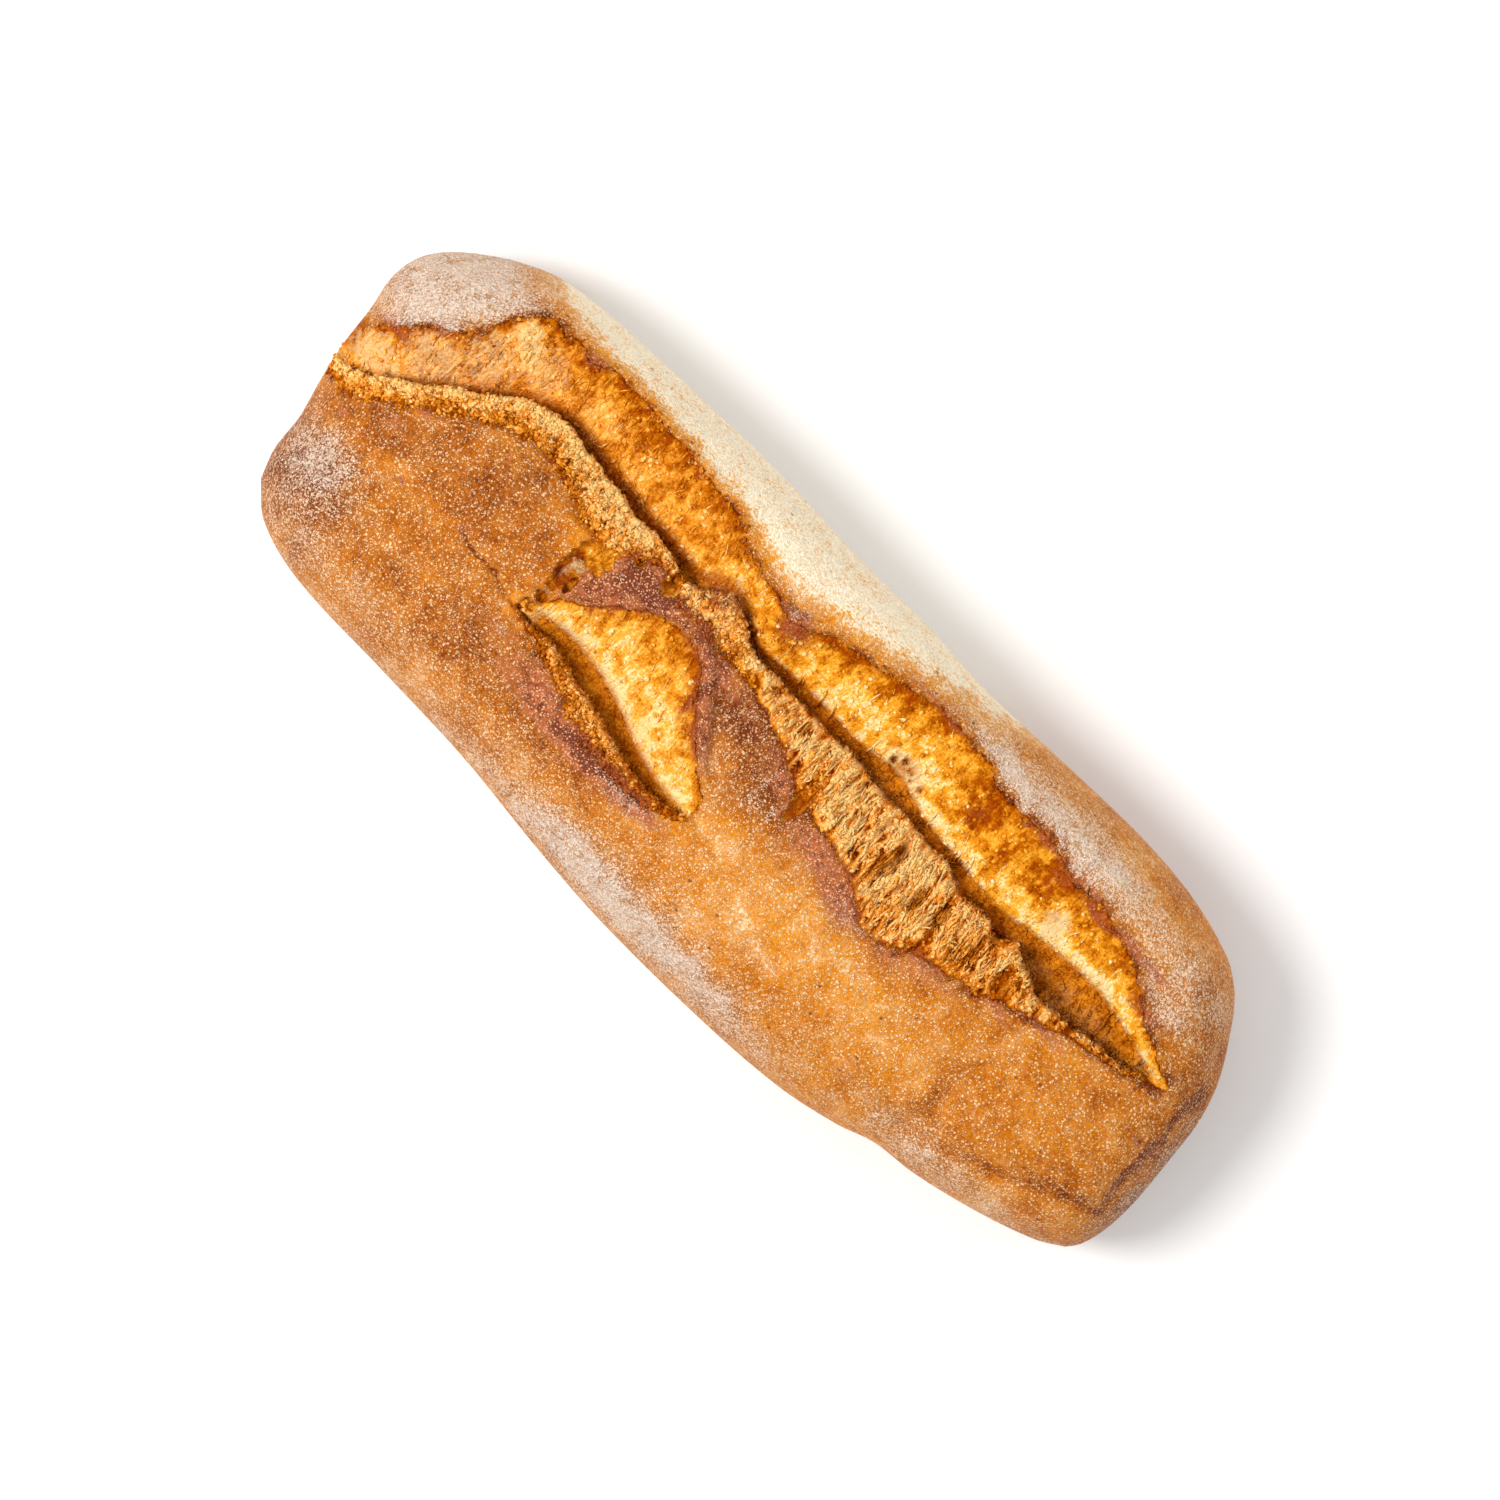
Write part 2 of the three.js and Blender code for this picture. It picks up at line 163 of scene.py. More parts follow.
SLASH_DEPTH = [(-68, 0), (-64, 2.0), (-58, 4.5), (-48, 6.6), (-25, 8), (-12, 7), (-4, 4), (2, 0)]
SLASH_ROUNDING = [(-68, 1.2), (-30, 1.6), (2, 1.2)]
SLASH_DROP = [(-68, 0), (-64, 0.8), (-58, 2.4), (-50, 3.2), (-30, 3.2), (-12, 3), (-4, 2), (2, 0)]
RIDGE_LINE = [
    (-66, -3), (-62, -0.5), (-57, 4), (-50, 9.5), (-45, 12.3), (-40, 13), (-35, 13.6), (-30, 13.4),
    (-25, 11), (-20, 5.6), (-15, -0.6), (-10, -6), (-5, -10.6), (2, -15),
]
RIDGE_HEIGHT = 3.0
RIDGE_HALF_WIDTH = [
    (-66, 2.0), (-60, 4.0), (-54, 5.6), (-48, 5.8), (-43, 4.2), (-38, 3.0), (-30, 2.8), (-20, 2.6),
    (2, 2.0),
]

SHOULDER_FOLD = [
    (58, -39.5), (72, -41.3), (82, -40), (92, -38), (105, -34.5), (120, -28.5), (134, -22), (143, -19),
]
FINE_CRACK = [(-92, -10.5), (-84, -12.5), (-78, -12.3), (-72, -14.5), (-66, -15.5)]
# Creases and cracks of the crust: line, depth, half width.
CREASES = [
    (SHOULDER_FOLD, 1.5, 1.8),
    ([(-2, -18.5), (8, -21), (18, -24.5), (30, -30.5), (44, -34.5)], 1.2, 2.0),
    ([(-2, -19), (4, -21.5), (9, -26), (13, -30)], 0.7, 1.2),
    ([(-140, -13), (-120, -13.5), (-100, -12), (-84, -11), (-68, -13.5)], 0.9, 2.6),
    (FINE_CRACK, 0.6, 0.7),
    ([(-108, 30), (-104, 34), (-101, 38), (-98.5, 43), (-97, 46)], 0.9, 1.0),
    ([(130, 19), (132.5, 22), (135, 20), (138, 18.5), (142, 18)], 0.8, 0.7),
    ([(128, 16.2), (131, 15.4), (133, 13.9), (136, 12.6)], 0.6, 0.7),
]
END_CREASE = [(-22, 144), (-12, 142.6), (4, 142), (16, 141), (26, 139.4), (36, 132)]  # Y, then X

# Swells and hollows of the crown: x, y, run along X, run along Y, rise.
SWELLS = [
    (-90, 6, 34, 13, 3.4), (-128, 32, 18, 13, 2.4), (-120, -30, 20, 13, 1.6), (28, -22, 34, 12, 2.2),
    (118, -10, 20, 15, 2.6), (95, -24, 5, 16, -1.6), (93, -37.5, 3, 3, -1.8), (72, 42, 36, 7, 1.6),
    (-78, 45, 34, 6, 1.2), (10, 29, 17, 7, 1.6), (82, 26, 20, 7, 1.4), (50, 31, 6, 8, -1.8),
    (-36, 21, 9, 5, 2.4), (66, 33, 5, 4, 0.9), (-112, 35, 6, 4, 1.5), (-102, 38, 2, 5, -1.2),
    (-16, 30, 4, 4, 1.4), (134.5, 17, 3, 2.4, 1.0), (-131, 18, 5, 4, 0.8), (-92, 37, 7, 4, 0.8),
    (-33, 25, 2.2, 1.8, 2.4), (-38.5, 21.6, 1.8, 1.4, 1.6), (-28.5, 22.3, 2.2, 1.8, 1.9),
    (-23.5, 20.3, 1.8, 1.3, 1.4), (-20, 27, 2.2, 5, 1.6), (-13, 27, 4, 4, 0.8), (-111.5, 36, 4, 5, 0.9),
    (-66, 36, 8, 4, -0.7), (-48, 33, 6, 4, 0.7), (0, 27, 6, 4, 0.7), (22, 34, 8, 4, 0.6),
]
# Steep-sided pits in the torn crumb: x, y, half length along X and Y, depth.
PITS = [
    (-65.2, -7.8, 1.8, 0.8, 1.8), (-66, -11.4, 1.2, 0.7, 1.8), (-63.4, -15, 1.9, 0.8, 1.8),
    (-66.5, -14, 0.9, 0.6, 1.4), (26.4, 25.4, 1.1, 1.2, 3.0), (28.9, 27.1, 1.2, 1.0, 3.0),
    (31.6, 26.2, 1.2, 1.1, 3.0), (28.4, 24.2, 0.9, 0.8, 2.6), (33.2, 24.4, 0.8, 0.7, 2.0),
    (36.6, 24.6, 0.8, 0.7, 1.8), (-63, -10, 0.6, 0.5, 1.0), (-40, -11.4, 0.6, 0.4, 0.8),
    (44.3, 7.2, 2.6, 6.6, 3.8), (55.5, 5, 2.0, 5.2, 2.2), (5.4, 15.2, 1.6, 2.8, 2.4),
    (31, 10, 1.2, 4.4, 1.0), (-6.6, 16.4, 1.8, 1.5, 2.2), (17.6, 3, 2.2, 6.4, 1.4),
    (29, 24.5, 3.4, 1.9, 1.8), (84, 24.8, 3.4, 1.7, 1.0), (-109, 33.5, 3, 1.2, 0.9),
    (36.4, 24.6, 1.1, 1.0, 1.0), (49.5, 2, 1.4, 3.4, 1.4), (23, 12, 1.2, 3.6, 0.9),
    (62.5, 6.5, 2.3, 5.0, 3.2), (76.6, 11.6, 2.4, 2.4, 2.8), (93, 10.8, 1.8, 2.2, 2.2),
    (74.5, 4.5, 1.2, 2.6, 1.2), (99, 12.4, 1.4, 1.4, 1.2), (-40.6, 21.4, 1.4, 0.8, 1.4),
    (-21, 22.6, 1.2, 1.4, 2.0), (0.6, 16.8, 1.2, 1.6, 1.4), (66, 20.4, 5, 0.8, 0.8),
    (12, 24.4, 0.8, 0.8, 0.7), (-139, -1.6, 1.6, 1.0, 1.2), (-145, -2, 1.5, 1.0, 1.2),
]
# Bubbles of the dough that burst in the crust: x, y, half length along X and Y, depth.
BURSTS = [
    (-61.6, 8.4, 4.7, 4.6, 1.7), (-64.2, 1.6, 3.0, 6.4, 2.6), (-61.4, -1.2, 1.2, 3.0, 3.6),
    (-64.2, -8.2, 1.9, 2.1, 2.4), (-64.6, -12.4, 1.5, 0.9, 1.6), (-62.6, -15.2, 1.2, 0.7, 1.4),
    (-43.4, 16.6, 2.5, 3.7, 2.9), (-53.0, 15.0, 1.15, 1.3, 1.7), (-64.4, -4.9, 1.3, 1.0, 1.4),
    (17.8, 1.5, 2.1, 6.5, 1.3),
]
# Thin domes of dough left standing in them: x, y, half length along X and Y, rise.
BURST_DOMES = [(-61.0, 8.8, 4.1, 4.0, 2.2), (-63.8, 2.2, 2.8, 3.4, 2.3), (-42.2, 15.4, 1.6, 2.6, 1.0)]
# Where those domes and other thin skins of the crumb are dry and pale: x, y, half length along X and Y,
# strength.
BUBBLE_SKINS = [
    (-138, 5, 9, 6, 0.75), (-126, 14, 10, 8, 0.75), (-115, 24, 9, 9, 0.7), (-104, 32, 8, 7, 0.6),
    (-86, 34, 12, 5, 0.25), (-66, 34, 12, 5, 0.15), (29.8, 25.8, 7.0, 4.2, 1.0), (36, 24.4, 2, 1.8, 0.8),
    (84, 25, 4.5, 5, 0.8), (36.3, 9, 1.2, 5, 0.8), (7.6, 13.4, 1.6, 2.8, 0.9), (-112.5, 34.6, 5, 3.6, 0.7),
    (45.5, 6.5, 1.4, 5, 0.7), (-20, -15, 9, 1.5, 0.3), (-50, -9.4, 10, 1.4, 0.5), (104, 22.4, 7, 1.2, 0.5),
    # On the grey dome near x -64 the upper skin is stronger than the lower one, so the dome is paler on top:
    # partly the dry skin, partly painted light.
    (-63.2, 3.4, 2.6, 1.9, 0.85), (-64.8, 0.6, 1.4, 2.6, 0.5), (-64.6, -6.4, 1.6, 0.8, 0.7),
    (-65.2, -10.4, 1.2, 0.8, 0.7), (-62, -10.6, 1.2, 0.7, 0.7),
]

# --- Where the crust and crumb take their colours: x, y, half length along X and Y, strength. -------------

SCORCHED = [
    (-10, 8, 12, 5, -0.28), (3, 6, 4, 3, -0.2), (-13, 30, 6, 4.5, 0.5), (10.5, 0.5, 1.8, 1.4, 1.6),
    (41, -8, 3.5, 2, 0.5), (-57, 3.5, 3, 3, -0.3), (-43, 11, 2.5, 2, -0.25), (-28, -30.6, 6, 1.6, 0.6),
    (-19.5, 5, 1.4, 7, 0.9), (-36, -27.4, 20, 2.6, 0.8), (-51, 7, 3, 9, -0.45), (-34, 12.6, 4, 1.6, -0.3),
    (-15, 1, 1.6, 5, -0.3), (-24, 11, 1.6, 2.4, 0.6), (-14, -3, 1.4, 5, 0.6), (92, -1, 7, 1.6, 0.35),
    (104, 4.6, 10, 1.4, 0.35), (-90.6, -10.9, 0.9, 0.9, 1.8), (138, 2, 0.9, 0.9, 1.8),
    (-133, -11.5, 1.0, 0.8, 1.6), (-109, -13.5, 0.8, 0.6, 1.6), (-128, 20, 12, 0.9, 0.4),
    (-20, 33, 5, 1.4, 0.4), (-55, 2.5, 6, 5, 0.95), (-50, 10, 6, 6, 0.95), (-52, 15, 6.5, 5, 0.85),
    (-44, 12.5, 5, 4, 0.8), (-36, 13.6, 8, 2.6, 0.75), (-27, 12.0, 6, 3.0, 0.8), (-19, 3, 3.4, 8, 0.8),
    (-11, -6, 3.4, 5, 0.55), (-31, -28.6, 17, 3.0, 1.7), (-13, -28.2, 9, 2.6, 1.1),
    (-49, -23.8, 9, 2.6, 0.8), (33, -5.5, 11, 4.5, 0.75), (44, -10, 7, 3.6, 0.9), (26, -3, 6, 3.5, 0.5),
    (9, 2.5, 5, 4.5, 0.65), (70, -5.0, 9, 2.8, 0.75), (60, -10, 7, 3, 0.55), (-33, 23.5, 6, 3.5, 0.85),
    (-37, 19.6, 2.5, 1.5, 0.5), (-15, 31, 5, 2.6, 0.55), (98, 34.1, 13, 1.1, 1.9), (84, 36.9, 8, 0.9, 1.7),
    (50.0, 31, 2.6, 5.0, 0.40), (117, 25.2, 7, 1.4, 1.0), (-138.5, 13.2, 5, 1.3, 1.8),
    (70.2, 41, 0.45, 3, 1.6), (-118, 3.2, 2.2, 1.6, 0.8), (-121, -4, 4, 2, 0.5), (24, 42.6, 14, 1.2, 0.6),
    (72, 39.2, 10, 1.1, 0.7), (-58, 42, 5, 1.4, 0.4), (-97, 42.5, 4, 1.6, 0.6), (77, 32.5, 3.0, 3.2, 0.35),
    (135.5, 2, 1.3, 1.3, 0.6), (88, -0.5, 5, 1.6, 0.5), (98, 4.2, 6, 1.3, 0.5), (-8, 8, 8, 4, 0.5),
    (-16, 9, 6, 4, 0.45), (4, 6.5, 4, 3, 0.5), (17, -2.5, 2, 4, 0.5), (-106, 11, 1.2, 1, 0.7),
    (-94.6, 10, 1.0, 1.0, 0.8), (-128, 22, 5, 1.3, 0.5), (-14, 34, 3, 1.4, 0.6), (-22, 17, 4, 1.6, 0.3),
    (64, 37.5, 6, 1.2, 0.6), (110, 30.3, 5, 1.2, 0.9), (142.4, 2, 1.2, 14, 0.35), (-66, -21, 8, 2, 0.4),
]
FLOURED = [
    (7.6, -4, 1.1, 6, 0.15), (14.6, -7, 0.9, 3, 0.4), (1.5, 1, 2, 4, -0.5), (-15, -30, 5, 1.2, 0.2),
    (74, 45, 34, 5, -0.05), (0, -50, 30, 5, 0.12), (112, 47, 16, 6, -0.15), (133, 18, 3, 4, -0.6),
    (-130, -8, 14, 4, -0.4), (-128, -21, 14, 5, 0.25), (108, 47, 18, 6, -0.2), (70, 43, 24, 3, 0.2),
    (-6, -49.5, 20, 2.4, 0.35), (22, -47.5, 16, 2.0, 0.25), (-138, 22, 9, 9, 0.3), (82, 38.5, 14, 1.6, 0.3),
    (-60, -50, 60, 2.5, 0.25), (80, 45, 40, 6, 0.2), (112, -12, 20, 12, -0.2), (-96, 6, 20, 8, -0.15),
    (-75, 12, 8, 4, -0.2), (-16, 32.5, 4, 1.4, 0.6), (49.5, 36, 2.4, 1.6, 0.5), (118, 29, 8, 3, 0.3),
    (-42, -36, 30, 4, 0.05), (-95, -34, 34, 12, -0.10), (10, -30, 30, 7, 0.05), (-139, 28, 15, 15, 1.0),
    (-128, 40, 16, 9, 0.8), (-128, -27, 15, 11, 0.50), (-118, -42, 22, 7, 0.30), (2, -49, 30, 6.5, 0.72),
    (-14, -47, 14, 4.5, 0.42), (40, -50, 22, 5, 0.45), (74, 44, 36, 5.0, 0.72), (44, 44, 12, 3.5, 0.5),
    (120, 36, 16, 12, 0.42), (147, -5, 4, 26, 0.45), (120, -37, 26, 5, 0.40), (-40, -46, 26, 6, 0.25),
    (98, -41, 14, 4, 0.4), (-85, -42, 22, 7, 0.20), (45, -11, 4, 3, 0.3), (-18, -28.5, 9, 2.4, 0.35),
    (8, -8, 2, 4, 0.1), (-92, 2, 30, 12, -0.22), (118, -8, 24, 18, -0.42), (24, -10, 30, 6, 0.10),
    (60, -22, 40, 8, -0.10), (-40, -33, 40, 6, -0.10), (30, -36, 40, 8, 0.06), (-128, -6, 14, 5, -0.35),
    (-90, -28, 30, 10, 0.05), (0, 0, 10, 10, 0.10), (-22, 36, 12, 3, 0.2),
]
BROWNED = [
    (74, 45, 36, 5, -0.20), (-6, 5, 10, 7, 0.55), (13, -3, 9, 6, 0.36), (-113, 40.6, 7, 1.6, 0.4),
    (-108, 42.8, 8, 1.2, 0.3), (-42, -37, 28, 4, 0.12), (118, -8, 20, 14, -0.10), (105, 43, 26, 7, -0.12),
    (-70, -14, 8, 3, -0.10), (130, -2, 12, 14, 0.04), (80, -8, 14, 4, 0.10), (92, -30, 2.5, 8, 0.12),
    (60, -14, 10, 3, 0.08), (-95, -32, 32, 10, 0.12), (-128, -28, 14, 12, 0.14), (-80, -18, 18, 8, 0.10),
    (20, -38, 40, 8, 0.04), (-96, 2, 26, 13, 0.30), (-122, -8, 12, 7, 0.20), (118, -8, 22, 17, 0.12),
    (40, -30, 50, 14, -0.10), (-40, -32, 36, 6, 0.22), (-128, -26, 12, 10, 0.30), (-16, 4, 5, 8, 0.25),
    (4, 5, 7, 8, 0.15), (12, -8, 18, 8, 0.10), (148, 0, 4, 40, 0.36), (138, 22, 9, 18, 0.25),
    (-92, -30, 40, 14, 0.08), (94, -24, 4, 16, 0.18), (108, 42, 26, 9, 0.10), (-140, -16, 6, 16, 0.16),
    (60, -20, 26, 6, -0.05), (-44, 38.5, 8, 3, 0.25), (20, -32, 20, 6, -0.06), (-60, -24, 16, 5, 0.16),
    (-106, 8, 8, 6, 0.12), (-110, -12, 20, 3, -0.12), (-84, 11, 8, 4, 0.14), (132, -18, 10, 4, 0.14),
    (115, -31, 18, 2, 0.12), (-72, -2, 5, 8, 0.12), (20, -16, 20, 4, -0.12), (70, -38, 30, 3, 0.08),
]
# More (or less) toasted crumb. The entries on the deep pits of the torn wall, near x 56, 62.5, 73 and 77,
# darken those pits: painted shade.
TOASTED = [
    (70, 29, 11, 4, 0.14), (-66, -13, 3, 3, 0.5), (72, 6, 14, 6, 0.16), (62.5, 6, 3, 7, 0.40),
    (56, 6, 1.6, 5, 0.32), (77, 11, 3.4, 3, 0.45), (73, 4, 1.6, 4, 0.35), (84, 8, 2, 4, 0.2),
    (46.6, 6, 2.2, 8, -0.30), (68.5, 9, 2, 5, -0.16), (41.6, 7, 1.4, 7, 0.35), (12, 11, 5, 3, 0.12),
    (20, 14, 3, 4, 0.10), (-65, 19, 12, 3, -0.06), (-20, 26, 3, 7, 0.10), (-110, 24, 12, 5, 0.06),
    (18, 40, 5, 1.6, 0.35), (29, 40.6, 2, 1.4, 0.4), (-4, 36, 5, 1.4, 0.35), (43, 12, 2.4, 2.4, 0.25),
    (0, 29, 8, 3, -0.05), (50.5, 32, 4.5, 7, 0.60), (62, 29, 2.2, 8, 0.30), (77, 33, 5.5, 5, 0.50),
    (17.5, 3, 2, 6, 0.45), (32, 30, 8, 5, -0.16), (12, 29, 11, 4, -0.12), (94, 29, 9, 3, 0.16),
    (84, 26, 4.5, 4.5, -0.34), (45, 23, 9, 2, -0.20), (-132, 4, 10, 4, -0.12), (-112, 34.5, 5, 3.6, -0.80),
    (-105, 29, 9, 5, -0.10), (-116, 22, 8, 4, 0.06), (-84, 33, 5, 4, -0.14), (-95, 40, 6, 3, 0.16),
    (-73, 38, 5, 5, 0.1), (-30, 22, 8, 4, 0.1), (-60, 36, 6, 4, 0.08), (-28, 30, 6, 3, -0.12),
    (-47, 3, 8, 4, -0.02), (-20, -8, 8, 5, -0.12), (42.5, 12, 3, 4, -0.10), (97, 8, 14, 3, 0.06),
    (-133, -1, 8, 3, -0.10), (18, 38, 10, 3, 0.16), (-2, 34, 6, 3, 0.14), (-12, 27, 5, 5, 0.18),
    (-20, 27, 3, 6, 0.06), (100, 23, 12, 1.8, -0.30), (70, 23, 5, 3, -0.16), (106, 30, 8, 2, 0.16),
    (-35, 17.5, 8, 1.6, -0.28), (-14, 17, 5, 1.6, -0.22), (-45, 21, 4, 2, 0.2), (-27, 8, 7, 4, 0.20),
    (-40, 0, 8, 4, -0.04), (47, 8, 3, 5, -0.18), (36, 9, 6, 5, -0.06), (124, 19, 5, 2, 0.16),
    (-100, 33, 5, 4, 0.10), (-143, 5, 4, 4, 0.05), (27, 8, 5, 4, -0.06), (54, 13, 3, 4, -0.05),
]
# Tufts of fluff on the lip of the tear.
TUFTS = [
    (54, 15.5, 1.2, 2, 1), (66, 12.5, 1.4, 1.6, 1), (71.5, 11.5, 2, 2.2, 1), (84, 11.5, 3, 2, 1),
    (-84, 26.6, 8, 1.2, 0.5), (-66, 24.6, 7, 1.2, 0.5), (-50, 22.4, 5, 1.2, 0.5), (-12, 19, 3, 1.6, 0.7),
    (-1, 19.4, 3, 1.2, 0.5), (12, 19, 3, 1.2, 0.5), (21, 19.8, 2, 1.6, 0.7), (26.5, 19.6, 2.4, 2.0, 0.9),
    (33, 18.6, 3, 1.2, 0.5), (40, 18.2, 2, 1.8, 0.7), (47, 17.4, 3, 1.2, 0.5), (55, 17.6, 1.6, 2.4, 0.9),
]
# More (or less) toast inside the burst bubbles.
BURST_TOAST = [
    (17.8, 1, 3, 9, 0.30), (17.8, -3, 3, 2, 0.2), (-61, 4, 7, 10, 0.26), (-65.6, 7, 1.2, 5, 0.3),
    (-63, -2, 3, 2.4, 0.3), (-60.5, 10, 3, 3, 0.05), (-63.8, 7.4, 2.2, 2, -0.22), (-59, 6, 1.6, 2.4, -0.05),
    (-43.6, 14.6, 1.6, 2, -0.16), (-44.6, 19, 1.6, 1.4, 0.3), (-64, -10, 2.4, 4, -0.15),
    (-66.6, 1, 0.9, 4, 0.25), (-53, 15, 2, 2, 0.3),
]
# The pale flank starts above this line, where the loaf leaned on its neighbour.
PALE_LINE = [
    (-150, 60), (-135, 56), (-120, 50.5), (-100, 47.5), (-80, 46.5), (-60, 45), (-40, 42.5), (-25, 39.5),
    (-10, 41), (5, 44), (20, 48), (40, 52), (60, 58), (150, 70),
]

# Where things start and end along the loaf: from nothing, to full, from full, to nothing.
FIBRES_RUN = (-20, -6, 118, 128)
FLUFF_RUN = (80, 88, 122, 128)
LEANING_RUN = (-140, -130, -48, -38)
RIDGE_RUN = (-66, -61, -12, 2)
FOLD_RUN = (92, 118, 143, 147)
CRACK_RUN = (-92, -89, -68, -63)
PALE_SEAMS_RUN = (-12, -4, 40, 56)
BURNT_RIM_RUN = (-145, -141, -124, -118)
END_RUN = (-22, -12, 16, 26)  # along Y

# --- The mesh. --------------------------------------------------------------------------------------------

COLUMNS = 610
BAND_ROWS = (34, 44, 44)  # below the slash, between the slash and the tear, above the tear
ROW_CROWDING = 0.62
COLUMN_CROWDING = 0.25
CRUMB_CROWDING = 0.3
CRUMB_START = -144.0  # left of this the tear's crumb is part of the crust's own mesh
CRUMB_FLOOR = 14.0  # the height at which the crumb's sunk rim is closed
PATCH = (-71.0, -33.0, -19.0, 23.0)  # lowest and highest X, then Y, of the finely modelled patch of crust
PATCH_STEP = 0.24
PATCH_MARGIN = 2.4
STRAND_RINGS = 6
FLANK_RINGS = 7
FOOT_RINGS = (11.0, 16.0, 24.0)  # insets of the rings under the loaf
# How far each sheet is sunk, in millimetres, where a finer one lies over it or its own rim closes.
CRUST_SINK = 0.9
PATCH_RIM_SINK = 1.6
CRUMB_RIM_SINK = 2.2
CRUMB_RISE = 0.25


def linear(code):
    """The linear colour of an sRGB hex value."""
    parts = [int(code[i:i + 2], 16) / 255 for i in (0, 2, 4)]
    return tuple(c / 12.92 if c <= 0.04045 else ((c + 0.055) / 1.055) ** 2.4 for c in parts)


# --- Curves and noise. ------------------------------------------------------------------------------------


def follow(pairs, at):
    """A smooth curve through (a, b) pairs with rising a, level beyond its ends."""
    a, b = np.array(pairs, float).T
    index = np.arange(len(a))
    before, after = np.maximum(index - 1, 0), np.minimum(index + 1, len(a) - 1)
    slope = (b[after] - b[before]) / (a[after] - a[before])
    at = np.clip(at, a[0], a[-1])
    i = np.clip(np.searchsorted(a, at, side="right") - 1, 0, len(a) - 2)
    run = a[i + 1] - a[i]
    t = (at - a[i]) / run
    t2, t3 = t ** 2, t ** 3
    ends = b[i] * (2 * t3 - 3 * t2 + 1) + b[i + 1] * (3 * t2 - 2 * t3)
    return ends + slope[i] * run * (t3 - 2 * t2 + t) + slope[i + 1] * run * (t3 - t2)


def smooth(low, high, value):
    """0 below low, 1 above high and an eased step between."""
    t = np.clip((value - low) / (high - low), 0, 1)
    return t * t * (3 - 2 * t)


def span(value, low, full, ebb, end):
    """1 between full and ebb, fading to 0 at low and at end."""
    return smooth(low, full, value) * (1 - smooth(ebb, end, value))


def tilt(line, x, reach=1.0):
    """The slope of a line along X."""
    return (follow(line, x + reach) - follow(line, x - reach)) / (2 * reach)


def bell(distance, half_width):
    return np.exp(-((distance / half_width) ** 2))


def cap(distance):
    """A round cap, 1 in the middle and 0 from a distance of 1."""
    return np.clip(1 - distance ** 2, 0, 1)


def crowd(t, amount):
    """t from 0 to 1, drawn towards both ends."""
    return t + amount * (t * t * (3 - 2 * t) - t)


def blobs(marks, x, y):
    """The sum of soft spots: each is x, y, half length along X and Y, strength."""
    total = np.zeros_like(x)
    for mark_x, mark_y, run_x, run_y, strength in marks:
        total += strength * bell(x - mark_x, run_x) * bell(y - mark_y, run_y)
    return total


def spread(mark, x, y):
    """How far (x, y) lies from the middle of a mark, where 1 is on its edge."""
    return np.hypot((x - mark[0]) / mark[2], (y - mark[1]) / mark[3])


def stamps(marks, x, y, ragged):
    """The highest of steep-sided spots: each is x, y, half length along X and Y, height."""
    highest = np.zeros_like(x)
    for mark in marks:
        highest = np.maximum(highest, mark[4] * (1 - smooth(0.55, 1.1, spread(mark, x, y) + ragged)))
    return highest


LATTICE = 256


def ripples(seed):
    """Seeded gradient noise of (x, y), about -1 to 1, with features about size apart."""
    turns = np.random.default_rng(seed).random((LATTICE, LATTICE)) * 2 * math.pi

    def at(x, y, size=1.0):
        x, y = x / size, y / size
        x0, y0 = np.floor(x).astype(int), np.floor(y).astype(int)
        across, up = x - x0, y - y0
        ease_x, ease_y = smooth(0, 1, across), smooth(0, 1, up)
        corner = {}
        for i in (0, 1):
            for j in (0, 1):
                turn = turns[(x0 + i) % LATTICE, (y0 + j) % LATTICE]
                corner[i, j] = np.cos(turn) * (across - i) + np.sin(turn) * (up - j)
        low = corner[0, 0] + (corner[1, 0] - corner[0, 0]) * ease_x
        high = corner[0, 1] + (corner[1, 1] - corner[0, 1]) * ease_x
        return 1.4 * (low + (high - low) * ease_y)

    return at


def cells(seed):
    """Seeded cell noise of (x, y): the distance to the nearest of scattered points, and its lot."""
    rng = np.random.default_rng(seed)
    jitter = rng.random((LATTICE, LATTICE, 2))
    lots = rng.random((LATTICE, LATTICE))

    def at(x, y):
        x0, y0 = np.floor(x).astype(int), np.floor(y).astype(int)
        nearest, lot = np.full(x.shape, 9.0), np.zeros(x.shape)
        for i in (-1, 0, 1):
            for j in (-1, 0, 1):
                a, b = (x0 + i) % LATTICE, (y0 + j) % LATTICE
                distance = np.hypot(x0 + i + jitter[a, b, 0] - x, y0 + j + jitter[a, b, 1] - y)
                closer = distance < nearest
                nearest, lot = np.where(closer, distance, nearest), np.where(closer, lots[a, b], lot)
        return nearest, lot

    return at


wander, mottle, grit, strands, warp_x, warp_y = (ripples(seed) for seed in (3, 5, 7, 11, 13, 17))
pores, blisters, clots = cells(19), cells(23), cells(29)


def waver(x, size, line):
    """Noise along X alone, with features about this many millimetres apart."""
    return wander(x / size, np.full(x.shape, line))


# --- The cuts. --------------------------------------------------------------------------------------------


